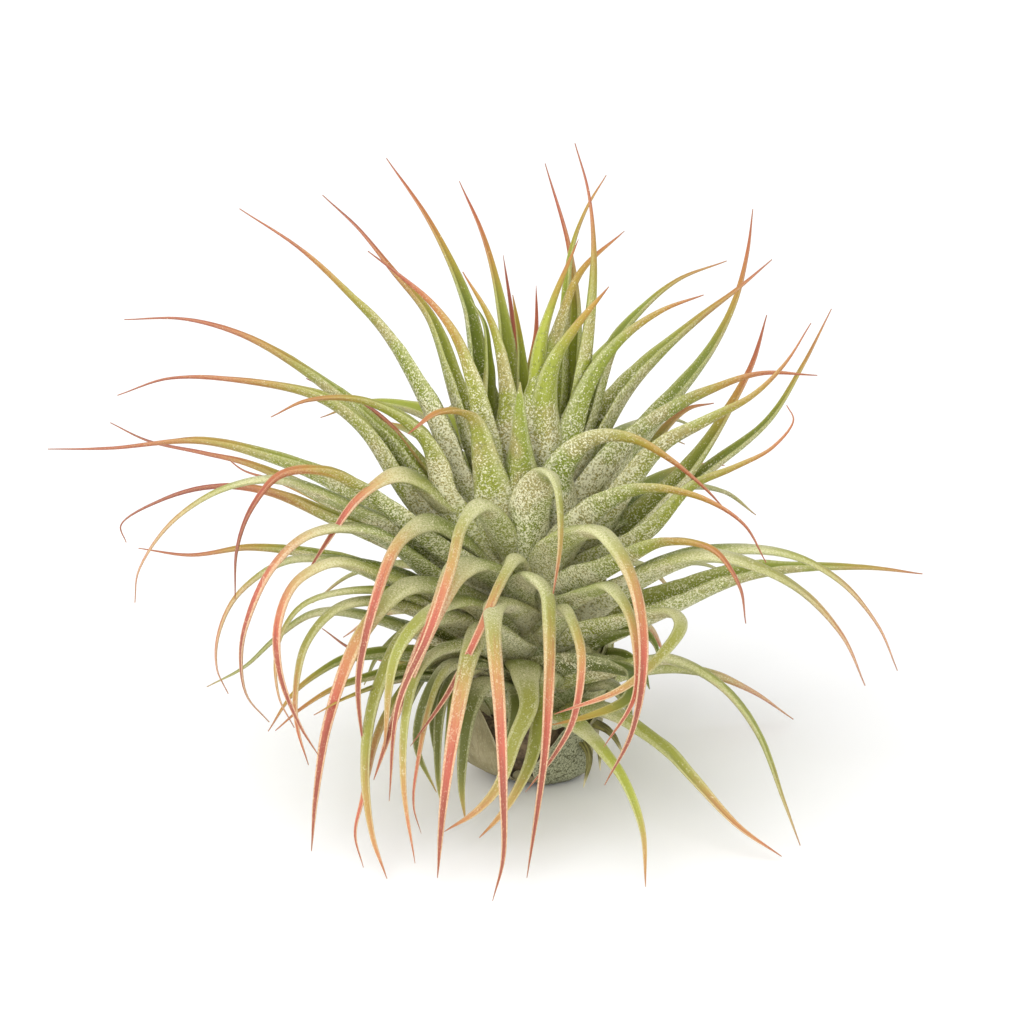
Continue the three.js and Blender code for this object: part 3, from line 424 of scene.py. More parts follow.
# The form of a leaf, by the place along it from 0 at the root to 1 at the tip.
BASE_WIDTHS = ((8, 16, 24, 31, 39), (1.9, 2, 2.8, 2.8, 2.2))  # of a foot, by the height of its root
BASE_GAIN = 1.6  # wider by this for each mm of blade
TAPER = ((0, 0.4, 0.6, 0.8, 0.92, 1), (1.2, 1.2, 0.95, 0.6, 0.32, 0.04))
THICKNESSES = ((0, 0.25, 0.6, 1), (1.7, 1.15, 0.75, 0.14))
CHANNELS = ((0, 0.35, 0.7, 1), (0.9, 0.9, 0.65, 0.3))  # depth over the half-width
ARCHED_BELOW = 0.65  # a leaf whose highest place comes sooner than this folds there
FOLD_LENGTH = 0.06
FILLED_FROM = (0.36, 0.12)  # before the fold, where the channel's floor begins to rise and has risen
FILLED_TO = (0.08, 0.3)  # past the fold, where it begins to sink again and has sunk
FOLD_FLATNESS = 0.4  # share of the channel's depth that goes
FOLD_ROUNDING = 0.24  # by this share of the half-width the margins drop
HANGS_FROM = (-0.02, 0.1)  # past the fold, where it begins to hang and hangs
FOLD_FROM = ((12, 18, 24), (0.1, 0.3, 0.7))  # share of the way to the fold it narrows from, by root
LEAST_LAG = 0.02  # it narrows to this far past the fold
FOLD_LAG = 0.1  # and this much further for each mm of blade over the least
LEAST_BLADE = 1.1
STRAIGHT_SHOULDER = (0.12, 0.8)  # where a leaf that doesn't fold narrows
# The section of a leaf and its ripple.
ALONG = 50  # places
AROUND = 16  # corners
BEND_WEIGHT = 0.2  # share of a leaf's length that one radian of bend counts for
FINE_STEPS = 30
EDGE_ROUNDNESS = 0.8
CHANNEL_POWER = 1.6
ROUNDING_POWER = 3.0
RIPPLE = 0.5  # at the margins, over the half-width
RIPPLES = 160.0  # to a metre
RIPPLE_ACROSS = 0.6
RIPPLE_APART = 90.0  # so that no two leaves ripple alike
LOWEST_SKIN = 0.05 * MM
# The blush, along the leaf. A folded leaf blushes from its fold on, an upright one towards its tip.
BLUSH_LEAD = 0.04  # before the fold, on a ripe leaf
UPRIGHT_BLUSH_FROM = 0.7  # on a green leaf
BLUSH_DELAY = 0.3  # between a ripe leaf and a green one
FOLDED_BLUSH_LENGTH = 0.5
UPRIGHT_BLUSH_LENGTH = 0.42
LEAST_RIPE = 0.45  # at the tip of a leaf that has only just blushed
JUST_BLUSHED = 0.05
# How much painted shade a leaf gets, and how lime it is. Each pair runs from none to all, by its
# root's height or its blush.
SHADED_ROOTS = (17, 13)
GREEN_BLUSHES = (0.25, 0.1)
SHOOT_ROOTS = (17, 10)
SHOOT_BLUSHES = (0.1, 0.2)
TOP_ROOTS = (31, 35)
SHOOT_LIME = 0.75
USUAL_LIME = 0.45
LIME_SPREAD = 0.6
LEAF_SEED = 777


class Draws:
    """The same run of random numbers every time, each from 0 to 1."""
    STEP = 16807
    ROUND = 2 ** 31 - 1

    def __init__(self, seed):
        self.state = seed

    def __call__(self):
        self.state = self.state * self.STEP % self.ROUND
        return self.state / self.ROUND


def back_leaves(random):
    """The side out of view, by the plant's own spiral: low leaves arch to the ground, high ones rise."""
    def between(ends, share):
        return ends[0] + (ends[1] - ends[0]) * share

    def strayed(angle, spread):
        return angle + spread * (random() - 0.5)

    rows = []
    for k in range(BACK_LEAVES):
        climb = k / (BACK_LEAVES - 1)
        azimuth = math.radians(strayed(BACK_FROM + BACK_SWEEP * (k * DIVERGENCE % 1), TURN_SPREAD))
        root = between(BACK_ROOTS, climb)
        length = between(BACK_LENGTHS, random())
        rise = strayed(between(BACK_RISES, climb), TURN_SPREAD)
        droop = strayed(BACK_DROOP, DROOP_SPREAD)
        drift = strayed(0, DRIFT_SPREAD)
        row = [root, between(BACK_BLADES, random()), between(BACK_BLUSHES, random())]
        reach, height = 0, root
        for stride in range(1, BACK_STRIDES + 1):
            along = stride / BACK_STRIDES
            pitch = math.radians(rise - droop * along ** DROOP_POWER)
            reach += length / BACK_STRIDES * math.cos(pitch)
            height += length / BACK_STRIDES * math.sin(pitch)
            if stride % STRIDES_A_POINT == 0:
                aside = drift * along ** 2
                row.append([
                    reach * math.cos(azimuth) - aside * math.sin(azimuth),
                    reach * math.sin(azimuth) + aside * math.cos(azimuth),
                    max(height, LEAST_HEIGHT),
                ])
        rows.append(row)
    return rows


def through(points, count):
    """Count places on a smooth curve through the points, closer together where it bends, its heading at
    each and its length up to each."""
    spine = np.array([2 * points[0] - points[1], *points, 2 * points[-1] - points[-2]])
    fine = []
    for a, b, c, d in zip(spine, spine[1:], spine[2:], spine[3:]):
        knots = np.cumsum([0, *(np.linalg.norm(q - p) ** 0.5 for p, q in ((a, b), (b, c), (c, d)))])
        for t in np.linspace(knots[1], knots[2], FINE_STEPS, endpoint=False):
            def blend(p, q, low, high):
                return ((high - t) * p + (t - low) * q) / (high - low)
            ab, bc, cd = blend(a, b, *knots[0:2]), blend(b, c, *knots[1:3]), blend(c, d, *knots[2:4])
            abc, bcd = blend(ab, bc, knots[0], knots[2]), blend(bc, cd, knots[1], knots[3])
            fine.append(blend(abc, bcd, knots[1], knots[2]))
    fine = np.array([*fine, points[-1]])
    steps = np.diff(fine, axis=0)
    strides = np.linalg.norm(steps, axis=1)
    run = np.concatenate([[0], np.cumsum(strides)])
    heads = steps / strides[:, None]
    turns = np.arccos(np.clip((heads[1:] * heads[:-1]).sum(axis=1), -1, 1))
    effort = run / run[-1] + BEND_WEIGHT * np.concatenate([[0, 0], np.cumsum(turns)])
    at = np.interp(np.linspace(0, effort[-1], count), effort, run)
    places = np.stack([np.interp(at, run, fine[:, axis]) for axis in range(3)], axis=1)
    ways = np.gradient(places, axis=0)
    return places, ways / np.linalg.norm(ways, axis=1)[:, None], at


def share(value, low, high):
    """0 at low, 1 at high, straight between."""
    return np.clip((value - low) / (high - low), 0, 1)


def eased(value, low, high):
    """0 at low, 1 at high, smooth between."""
    part = share(value, low, high)
    return part * part * (3 - 2 * part)


def blush_along(at, blush, fold_at):
    """How ripe a leaf is at each place. A leaf with no fold has None for it."""
    if fold_at is None:
        start = UPRIGHT_BLUSH_FROM - BLUSH_DELAY * blush
        length = UPRIGHT_BLUSH_LENGTH
    else:
        start = fold_at - BLUSH_LEAD + BLUSH_DELAY * (1 - blush)
        length = FOLDED_BLUSH_LENGTH
    ripest = (LEAST_RIPE + (1 - LEAST_RIPE) * min(blush, 1)) * min(blush / JUST_BLUSHED, 1)
    return ripest * eased(at, start, start + length)


def along_leaf(row, foot_width, random):
    """A leaf at each place along its midrib: where it is, its own directions, its sizes and its colour."""
    root, blade, blush, *path = row
    places, ways, run = through(np.array([[0, 0, root], *path], float), ALONG)
    at = run / run[-1]
    highest = at[places[:, 2].argmax()]
    arched = highest <= ARCHED_BELOW
    if arched:
        lag = LEAST_LAG + FOLD_LAG * max(0, blade - LEAST_BLADE)
        shoulder = (np.interp(root, *FOLD_FROM) * highest, highest + lag)
        fold = np.exp(-((at - highest) / FOLD_LENGTH) ** 2)
        filled = eased(at, highest - FILLED_FROM[0], highest - FILLED_FROM[1])
        filled *= 1 - eased(at, highest + FILLED_TO[0], highest + FILLED_TO[1])
        hang = eased(at, highest + HANGS_FROM[0], highest + HANGS_FROM[1])
    else:
        shoulder = STRAIGHT_SHOULDER
        fold = filled = hang = np.zeros(ALONG)
    foot = (foot_width - blade) * (1 - eased(at, *shoulder))
    side = np.array([-path[0][1], path[0][0], 0.0])
    sides = []
    for way in ways:
        side = side - side.dot(way) * way
        side /= np.linalg.norm(side)
        sides.append(side)
    own = random()
    shaded = share(root, *SHADED_ROOTS) * share(blush, *GREEN_BLUSHES)
    shoot = SHOOT_LIME * share(root, *SHOOT_ROOTS) * share(blush, *SHOOT_BLUSHES)
    young = max(shoot, share(root, *TOP_ROOTS), USUAL_LIME * (1 - shaded))
    return {
        "centre": places * MM,
        "side": np.array(sides),
        "normal": np.cross(ways, sides),
        "half": (blade * np.interp(at, *TAPER) + foot) / 2 * MM,
        "thick": np.interp(at, *THICKNESSES) / 2 * MM,
        "deep": np.interp(at, *CHANNELS) * (1 - FOLD_FLATNESS * filled),
        "filled": filled,
        "run": run * MM,
        "at": at,
        "ripe": blush_along(at, blush, highest if arched else None),
        "fold": fold,
        "hang": hang,
        "lime": np.full(ALONG, young * (1 - LIME_SPREAD + LIME_SPREAD * random())),
        "shaded": np.full(ALONG, shaded),
        "own": np.full(ALONG, own),
    }


def midrib_mesh(rows, name, foot_of):
    """The midribs as one mesh of open lines, each point with what its leaf is like there."""
    random = Draws(LEAF_SEED)
    midribs = [along_leaf(row, foot_of(row), random) for row in rows]
    edges = [(k, k + 1) for k in range(len(rows) * ALONG - 1) if (k + 1) % ALONG]
    mesh = bpy.data.meshes.new(name)
    mesh.from_pydata([place for midrib in midribs for place in midrib["centre"]], edges, [])
    for key in midribs[0]:
        values = np.concatenate([midrib[key] for midrib in midribs]).astype(np.float32)
        kind, field = ("FLOAT_VECTOR", "vector") if values.ndim == 2 else ("FLOAT", "value")
        mesh.attributes.new(key, kind, "POINT").data.foreach_set(field, values.ravel())
    return mesh


def leaf_foot(row):
    return np.interp(row[0], *BASE_WIDTHS) + BASE_GAIN * row[1]


class Growth(Board):
    """A tree of geometry nodes being drawn up, with named inputs."""

    def __init__(self, name, takes):
        super().__init__(bpy.data.node_groups.new(name, "GeometryNodeTree"))
        for title, kind in takes.items():
            self.tree.interface.new_socket(title, in_out="INPUT", socket_type="NodeSocket" + kind)
        self.tree.interface.new_socket("Made", in_out="OUTPUT", socket_type="NodeSocketGeometry")
        given = self.tree.nodes.new("NodeGroupInput")
        self.given = [Wire(socket) for socket in given.outputs[:len(takes)]]

    def attribute(self, name, kind="FLOAT"):
        return self.node("GeometryNodeInputNamedAttribute", {"data_type": kind}, {"Name": name})

    def kept(self, geometry, name, value):
        inputs = {"Geometry": geometry, "Name": name, "Value": value}
        return self.node("GeometryNodeStoreNamedAttribute", {"data_type": "FLOAT", "domain": "POINT"}, inputs)

    def finish(self, geometry, material):
        real = self.node("GeometryNodeRealizeInstances", inputs={"Geometry": geometry})
        painted = self.node("GeometryNodeSetMaterial", inputs={"Geometry": real, "Material": material})
        self.node("NodeGroupOutput", inputs={0: painted})
        return self.tree


def leaf_sweep():
    """Geometry nodes: sweeps a channelled section along every midrib."""
    growth = Growth("leaf sweep", {"Midribs": "Geometry", "Corners around": "Int", "Finish": "Material"})
    midribs, corners, finish = growth.given
    inputs = {"Resolution": corners, "Radius": 1.0}
    ring = growth.node("GeometryNodeCurvePrimitiveCircle", {"mode": "RADIUS"}, inputs)
    ring = growth.kept(ring, "turn", growth.node("GeometryNodeInputIndex") / corners * (2 * math.pi))
    lines = growth.node("GeometryNodeMeshToCurve", inputs={"Mesh": midribs})
    inputs = {"Curve": lines, "Profile Curve": ring, "Fill Caps": True}
    swept = growth.node("GeometryNodeCurveToMesh", inputs=inputs)
    turn, half, thick, deep, filled, run, own = growth.attributes("turn half thick deep filled run own")
    centre, side, normal = (growth.attribute(name, "FLOAT_VECTOR") for name in ("centre", "side", "normal"))
    cosine = maths("COSINE", turn)
    sine = maths("SINE", turn)
    span = maths("ABSOLUTE", cosine)
    round_edge = maths("SIGN", sine) * maths("ABSOLUTE", sine) ** EDGE_ROUNDNESS
    out = cosine * half
    ripple_place = {"X": run * RIPPLES, "Y": cosine * RIPPLE_ACROSS}
    ripple = growth.node("ShaderNodeTexNoise", {"noise_dimensions": "4D"}, {
        "Vector": growth.node("ShaderNodeCombineXYZ", inputs=ripple_place),
        "W": own * RIPPLE_APART, "Scale": 1.0, "Detail": 1.0,
    })
    sunk = (1.0 - span ** CHANNEL_POWER) * (1.0 - filled * maths("GREATER_THAN", sine, 0.0))
    lift = deep * half * (0.5 - sunk) + round_edge * thick
    lift = lift - filled * half * span ** ROUNDING_POWER * FOLD_ROUNDING
    lift = lift + (ripple - 0.5) * span * half * RIPPLE
    place = centre + side.scaled(out) + normal.scaled(lift)
    place = maths("MAXIMUM", place, (-1.0, -1.0, LOWEST_SKIN))
    swept = growth.node("GeometryNodeSetPosition", inputs={"Geometry": swept, "Position": place})
    for name, value in (("across", span), ("upper", sine), ("out", out)):
        swept = growth.kept(swept, name, value)
    return growth.finish(growth.node("GeometryNodeSetShadeSmooth", inputs={0: swept}), finish)


def grown(name, mesh, tree, values):
    """The plain mesh that a tree of geometry nodes makes of this one."""
    holder = placed(name + "_growing", mesh)
    modifier = holder.modifiers.new("growth", "NODES")
    modifier.node_group = tree
    sockets = {item.name: item.identifier for item in tree.interface.items_tree if item.in_out == "INPUT"}
    for title, value in values.items():
        modifier[sockets[title]] = value
    ready = holder.evaluated_get(bpy.context.evaluated_depsgraph_get())
    made = bpy.data.meshes.new_from_object(ready)
    bpy.data.objects.remove(holder)
    made.name = name
    return placed(name, made)


# The colours of a leaf: its foot and its blade, each between two tones, then what lies over them.
FOOT = tint(200, 195, 138), tint(220, 209, 154)
BLADE = tint(106, 122, 42), tint(146, 147, 58)
HANGING_BLADE = tint(144, 138, 74)
YOUNG_BLADE = tint(160, 168, 60)
SHADED_BLADE = tint(84, 92, 34)
CHANNEL_SHADE = tint(80, 98, 28)
ROSY_SKIN = tint(182, 150, 118)
UPRIGHT_BLUSH = [
    (0.0, tint(152, 146, 54)), (0.3, tint(172, 134, 60)), (0.6, tint(178, 110, 68)),
    (0.85, tint(168, 90, 68)), (1.0, tint(144, 76, 62)),
]
HANGING_BLUSH = [
    (0.0, tint(156, 150, 76)), (0.25, tint(182, 142, 84)), (0.5, tint(190, 122, 84)),
    (0.78, tint(184, 96, 76)), (1.0, tint(148, 80, 64)),
]
SILVER = tint(242, 239, 208), tint(230, 194, 160)
BLUSH_STREAK = tint(138, 84, 58)
PIT = tint(96, 102, 56)
FOLD_HIGHLIGHT = tint(218, 212, 174)
MARGIN = tint(214, 212, 170), tint(228, 194, 156)
DRY_TIP = tint(150, 84, 58)


def leaf_paint():
    """Sage foot, green to lime blade, olive-gold to coral past the fold, all grained with pale scales."""
    paint = Paint("leaf")
    at, ripe, fold, hang, lime, shaded, own = paint.attributes("at ripe fold hang lime shaded own")
    across, upper, out, run = paint.attributes("across upper out run")
    skin = paint.vector(out, run * 0.8, upper * 0.0012 + own)
    patch = paint.noise(paint.place(), 130.0)
    streak = paint.noise(paint.vector(out, run * 0.06, own * 3.0), 2600.0, 2.0, 0.6)
    grain = paint.noise(skin, 4700.0, 2.0, 0.7)
    clump = paint.noise(skin, 1200.0, 2.0, 0.6)
    speck = paint.noise(skin, 2600.0, 1.0)
    veins = paint.noise(paint.vector(out * 3.4, run * 0.12, own), 1500.0)

    # Where each zone lies. The blush starts raggedly, in streaks and patches.
    blushing = paint.band(ripe, 0.0, 0.25)
    ripe = paint.band(ripe + blushing * (0.3 * (streak - 0.5) + 0.25 * (patch - 0.5)), 0.0, 1.0)
    upright_blush = blushing * (1.0 - hang)
    lower = paint.band(upper, 0.35, -0.35)
    blade_part = paint.band(at + 0.2 * lime, 0.1, 0.42)
    # Painted shade: the hollow of the channel on the inner face, darkest down its middle.
    channel_shade = (1.0 - lower) * paint.band(across, 0.95, 0.3) * (1.0 - hang)
    rosy = paint.band(patch, 0.46, 0.62) * paint.band(at, 0.12, 0.3) * lower

    # The flesh.
    blade = paint.mix(own, *BLADE)
    blade = paint.mix(hang * 0.7, blade, HANGING_BLADE)
    blade = paint.mix(lime, blade, YOUNG_BLADE)
    # Painted shade: low green leaves, which lie under the others, are painted a darker green.
    blade = paint.mix(shaded * 0.85, blade, SHADED_BLADE)
    flesh = paint.mix(blade_part, paint.mix(own, *FOOT), blade)
    flesh = paint.mix(channel_shade * (0.5 - 0.35 * lime), flesh, CHANNEL_SHADE)
    flesh = paint.mix(rosy * 0.4, flesh, ROSY_SKIN)
    blushed = paint.mix(hang, paint.ramp(ripe, UPRIGHT_BLUSH), paint.ramp(ripe, HANGING_BLUSH))
    flesh = paint.mix(blushing, flesh, blushed)

    # The pale scales, which cover the foot and the outer face most closely, and wear off the blade.
    cover = 0.36 + 0.3 * lower + 0.1 * (1.0 - blade_part) + 0.8 * (patch - 0.5) + (clump - 0.5)
    # The shaded term is painted shade too: fewer pale scales on those low leaves.
    cover = cover - paint.band(at, 0.35, 0.7) * (0.5 - 0.3 * hang) - 0.42 * lime - 0.15 * fold - 0.3 * shaded
    level = 0.62 - 0.24 * cover
    scales = paint.band(grain, level - 0.05, level + 0.06)
    patchy = 1.0 - hang * (0.7 - 0.65 * paint.band(clump, 0.42, 0.6))
    dusted = scales * patchy * (0.96 - 0.12 * blade_part - 0.25 * ripe) * (1.0 - 0.5 * upright_blush)
    dusted = dusted * (1.0 - 0.45 * hang + 0.2 * hang * ripe)
    colour = paint.mix(dusted, flesh, paint.mix(ripe, *SILVER))

    # Streaks, pits, a painted highlight along the fold, the pale margins and the dry tip.
    colour = paint.mix(paint.band(streak, 0.54, 0.68) * blushing * 0.35, colour, BLUSH_STREAK)
    pits = paint.band(speck, 0.6, 0.67) * (1.0 - blushing) * (0.3 + 0.7 * lower)
    colour = paint.mix(pits * 0.45, colour, PIT)
    # Painted highlight: the top of each arch is painted pale, most on its upper face.
    fold_highlight = fold * (0.4 + 0.3 * (1.0 - lower)) * (0.35 + 0.65 * paint.band(grain, 0.36, 0.54))
    colour = paint.mix(fold_highlight, colour, FOLD_HIGHLIGHT)
    margin = paint.band(across + 0.12 * hang, 0.62, 0.86) * (0.3 + 0.7 * paint.band(grain, 0.4, 0.54))
    margin = margin * (0.35 + 0.65 * paint.band(at, 0.2, 0.45)) * 0.85
    margin = margin * (0.45 + 0.05 * hang + 0.6 * hang * ripe - 0.2 * upright_blush)
    colour = paint.mix(margin, colour, paint.mix(ripe, *MARGIN))
    dry_tip = paint.band(at, 0.93, 1.0) * blushing
    colour = paint.mix(dry_tip * 0.6, colour, DRY_TIP)

    relief = paint.bump(veins, 0.00015, 0.5)
    relief = paint.bump(scales * 0.5 + grain, 0.00006, 0.6, relief)
    return paint.finish(
        Base_Color=colour, Roughness=0.46 + 0.18 * scales, Normal=relief,
        Subsurface_Weight=0.08, Subsurface_Radius=(0.0012, 0.0012, 0.0004), Subsurface_Scale=1.0,
        Specular_IOR_Level=0.35,
    )


leaf_rows = [*CROWN, *RIGHT, *FRONT, *LEFT, *INNER, *back_leaves(Draws(BACK_SEED))]
sweep = leaf_sweep()
leaves = grown(
    "leaves", midrib_mesh(leaf_rows, "midribs", leaf_foot), sweep,
    {"Corners around": AROUND, "Finish": leaf_paint()},
)
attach(leaves, "root")
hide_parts("leaf_rosette")

# The leaf scales: each is a tiny pale shield on a stalk that drinks dew, densest on the outer
# face near the foot. They stand just proud of the skin.
SCALE_RADIUS = (0.05 * MM, 0.11 * MM)
SCALE_DENSITY = 1.9 / MM ** 2
SCALE_SIDES = 5
SCALE_RISE = 0.45  # over its radius
SCALE_SEED = 5
SIZE_SEED = 3
BARE_FOOT = 0.13  # of the leaf's length


def scale_scatter():
    """Geometry nodes: sets shallow shields on the leaves and drops the leaves themselves."""
    growth = Growth("scale scatter", {
        "Leaves": "Geometry", "Density": "Float", "Least radius": "Float", "Most radius": "Float",
        "Seed": "Int", "Finish": "Material",
    })
    skin, density, least, most, seed, finish = growth.given
    at, upper, hang, lime = growth.attributes("at upper hang lime")
    # Few on the inner face, and fewer still past the fold and on young leaves.
    outer = (0.62 - 0.38 * upper) * (1.0 - 0.9 * at) ** 1.5 * maths("GREATER_THAN", at, BARE_FOOT)
    outer = outer * (1.0 - 0.93 * hang) * (1.0 - 0.6 * lime)
    inputs = {"Mesh": skin, "Density": density * outer, "Seed": seed}
    points = growth.node("GeometryNodeDistributePointsOnFaces", inputs=inputs)
    turned = Wire(points.socket.node.outputs["Rotation"])
    inputs = {"Vertices": SCALE_SIDES, "Radius Top": 0.0, "Radius Bottom": 1.0, "Depth": SCALE_RISE}
    shield = growth.node("GeometryNodeMeshCone", {"fill_type": "NONE"}, inputs)
    inputs = {2: least, 3: most, "Seed": SIZE_SEED}
    size = growth.node("FunctionNodeRandomValue", {"data_type": "FLOAT"}, inputs, 1)
    inputs = {"Points": points, "Instance": shield, "Rotation": turned, "Scale": size}
    return growth.finish(growth.node("GeometryNodeInstanceOnPoints", inputs=inputs), finish)


def scale_paint():
    """Silvery cream, warmer where the leaf under it has blushed."""
    paint = Paint("leaf_scales")
    ripe = paint.attribute("ripe")
    cloud = paint.noise(paint.place(), 700.0)
    colour = paint.mix(paint.band(cloud, 0.35, 0.65), tint(216, 216, 180), tint(192, 196, 150))
    colour = paint.mix(ripe * 0.8, colour, tint(240, 208, 166))
    return paint.finish(Base_Color=colour, Roughness=0.4 + 0.25 * cloud, Specular_IOR_Level=0.5)


scales = grown("leaf_scales", leaves.data.copy(), scale_scatter(), {
    "Density": SCALE_DENSITY, "Least radius": SCALE_RADIUS[0], "Most radius": SCALE_RADIUS[1],
    "Seed": SCALE_SEED, "Finish": scale_paint(),
})
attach(scales, "root")
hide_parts("leaf_rosette")

# The wrapped bases: the stumps of leaves long gone and the broad feet of the lowest ones, pressed
# over each other round the stem like the scales of a bud and grained with the same pale scales.
WRAPS = 34
WRAP_TURN = 137.5
WRAP_FEET = (6, 27)
WRAP_HEIGHT = 8.5
WRAP_HALF_ANGLE = 31
WRAP_LIFT = 0.9
WRAP_PROUD = 0.2
WRAP_GRID = (15, 15)
# A shell's outline, over its half-width: how it ends in a point, is fullest low down and is ragged.
LEAST_WIDTH = 0.03
POINTEDNESS = 2.6
FULL_WIDTH_AT = 0.3125  # of the way up
NARROWING = 0.14  # away from there
RAGGED = 0.07
RAGS = (9, 3.1)  # up a shell, and from one shell to the next
# A shell's skin, in millimetres: thick in the middle, creased, veined and curled at the rim.
SHEATH_THICK = 0.4
RIM_THINNESS = 0.7  # share of the thickness that goes
CREASE = 0.22
CREASES = (1.6, 3.5, 5.7)  # across, up, and from one shell to the next
CREASE_SAG = 0.25
VEIN = 0.05
VEINS_ACROSS = 21
CURL = 0.18
LEAST_SHELL_HEIGHT = 0.05
OWN_TONE = 0.37  # from one shell's tone to the next, round a circle of 1


def wandering(x, y, z):
    return noise.noise(Vector((x, y, z)))


def shell_mesh(name, rows, profile, grid, lean=lambda height: 0):
    """Curved pointed shells that hug a turned body, with veins, creases and ragged rims."""
    columns, tiers = grid
    verts, faces, marks = [], [], []
    for n, (azimuth, half_angle, foot, top, lift, brown, proud) in enumerate(rows):
        begin = len(verts)
        for skin in (0, 1):
            for tier in range(tiers):
                up = tier / (tiers - 1)
                height = foot + (top - foot) * up
                belly = 1 - NARROWING * (1 - math.sin(math.pi * min(1, up / 2 / FULL_WIDTH_AT)))
                width = belly * max(LEAST_WIDTH, 1 - up ** POINTEDNESS)
                for k in range(columns):
                    aside = 2 * k / (columns - 1) - 1
                    ragged = 1 + RAGGED * wandering(up * RAGS[0], n * RAGS[1], 1 if aside > 0 else -1)
                    angle = math.radians(azimuth + half_angle * width * ragged * aside)
                    crease = wandering(aside * CREASES[0], up * CREASES[1], n * CREASES[2])
                    vein = math.sin(aside * VEINS_ACROSS + 2 * crease)
                    thick = SHEATH_THICK * (1 - RIM_THINNESS * abs(aside) ** 4)
                    off = proud + lift * up ** 2 + CREASE * crease + VEIN * vein + CURL * abs(aside) ** 6
                    radius = np.interp(height, *zip(*profile)) + off - skin * thick
                    verts.append((
                        (radius * math.cos(angle) + lean(height)) * MM, radius * math.sin(angle) * MM,
                        max(height + CREASE_SAG * crease * up, LEAST_SHELL_HEIGHT) * MM,
                    ))
                    marks.append((brown, aside, up, n * OWN_TONE % 1))
        back = columns * tiers
        for tier in range(tiers - 1):
            for k in range(columns - 1):
                a = begin + columns * tier + k
                faces.append((a, a + 1, a + 1 + columns, a + columns))
                faces.append((a + back, a + back + columns, a + back + 1 + columns, a + back + 1))
        rim = [begin + k for k in range(columns)]
        rim += [begin + columns * tier + columns - 1 for tier in range(1, tiers)]
        rim += [begin + columns * (tiers - 1) + k for k in range(columns - 2, -1, -1)]
        rim += [begin + columns * tier for tier in range(tiers - 2, 0, -1)]
        for here, after in zip(rim, rim[1:] + rim[:1]):
            faces.append((here, here + back, after + back, after))
    mesh = smooth_mesh(name, verts, faces)
    for key, values in zip(("tan", "aside", "up", "own"), zip(*marks)):
        mesh.attributes.new(key, "FLOAT", "POINT").data.foreach_set("value", values)
    return mesh


def wrap_paint():
    """Sage to straw, closely set with pale scales, darker between them and low down."""
    paint = Paint("wrapped_base")
    place = paint.place()
    up, aside = paint.attributes("up aside")
    cloud = paint.noise(place, 240.0, 3.0, 0.6)
    grain = paint.noise(place, 3600.0, 3.0, 0.7)
    colour = paint.mix(paint.band(cloud, 0.35, 0.65), tint(122, 132, 78), tint(160, 154, 102))
    colour = paint.mix(paint.band(grain, 0.46, 0.56) * (0.35 + 0.4 * up), colour, tint(214, 212, 170))
    rim = paint.band(maths("ABSOLUTE", aside), 0.88, 1.0)
    colour = paint.mix(rim * 0.5, colour, tint(206, 200, 160))
    relief = paint.bump(grain + cloud, 0.00012, 0.7)
    rough = 0.55 + 0.2 * grain
    return paint.finish(Base_Color=colour, Roughness=rough, Normal=relief, Specular_IOR_Level=0.3)


wrap_rows = []
for k in range(WRAPS):
    wrap_foot = WRAP_FEET[0] + (WRAP_FEET[1] - WRAP_FEET[0]) * k / (WRAPS - 1)
    wrap_top = wrap_foot + WRAP_HEIGHT
    wrap_rows.append((WRAP_TURN * k, WRAP_HALF_ANGLE, wrap_foot, wrap_top, WRAP_LIFT, 0.0, WRAP_PROUD))
wraps = placed("wrapped_bases", shell_mesh("wrapped_bases", wrap_rows, STEM, WRAP_GRID))
wraps.data.materials.append(wrap_paint())
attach(wraps, "root")
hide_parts("leaf_rosette")

# The old sheaths: dead leaf bases, thin and papery, wrapped over each other into the bulb that the
# plant stands on. A core of packed dry tissue fills the bulb; its dark brown is painted shade, so that
# the gaps between the sheaths show dark.
BULB = [(0, 4.8), (1.2, 7), (3, 8.5), (5.5, 9.5), (8, 9.8), (10, 9.6)]
BULB_LEAN = -2  # sideways above the flat under the foot
LEAN_BY = 4  # the height by which it has leant
CORE_INSETS = ((0, 1.4), (0.15, 0.5))  # from the bulb's outline, by height
CORE_SIDES = 64
CORE_RINGS = 30
CORE_WAVER = 0.3
SHEATH_GRID = (27, 25)
# Each: azimuth and half-width in degrees, heights of foot and tip, how far the tip stands off,
# how tan it is (0 still pale green and scaly, 1 papery brown), how far out it lies.
SHEATHS = [
    (-150, 34, 0.3, 9.5, 0.5, 0.35, 0.15),
    (-131, 25, 1.6, 13.5, 0.5, 1.0, 0.55),
    (-97, 15, 0.6, 3.6, 0.2, 0.9, 0.2),
    (-54, 33, 0.2, 10.6, 0.7, 0.0, 0.5),
    (-22, 34, 0.5, 11, 1.1, 0.6, 0.25),
    (14, 34, 0.2, 13, 0.7, 0.9, 0.5),
    (58, 34, 0.6, 11.5, 1.0, 0.2, 0.2),
    (100, 36, 0.2, 13, 0.8, 0.7, 0.5),
    (142, 32, 0.5, 11, 1.0, 0.4, 0.2),
    (176, 34, 0.2, 12.5, 0.7, 0.9, 0.5),
]


def lean_at(height):
    return BULB_LEAN * eased(height, 0, LEAN_BY)


def core_shade_paint():
    """Dark brown, crumbly: painted shade for the gaps between the sheaths."""
    paint = Paint("sheath_core")
    grain = paint.noise(paint.place(), 900.0, 4.0, 0.65)
    colour = paint.mix(paint.band(grain, 0.35, 0.65), tint(66, 54, 38), tint(120, 102, 76))
    return paint.finish(Base_Color=colour, Roughness=0.8, Normal=paint.bump(grain, 0.0004, 0.7))


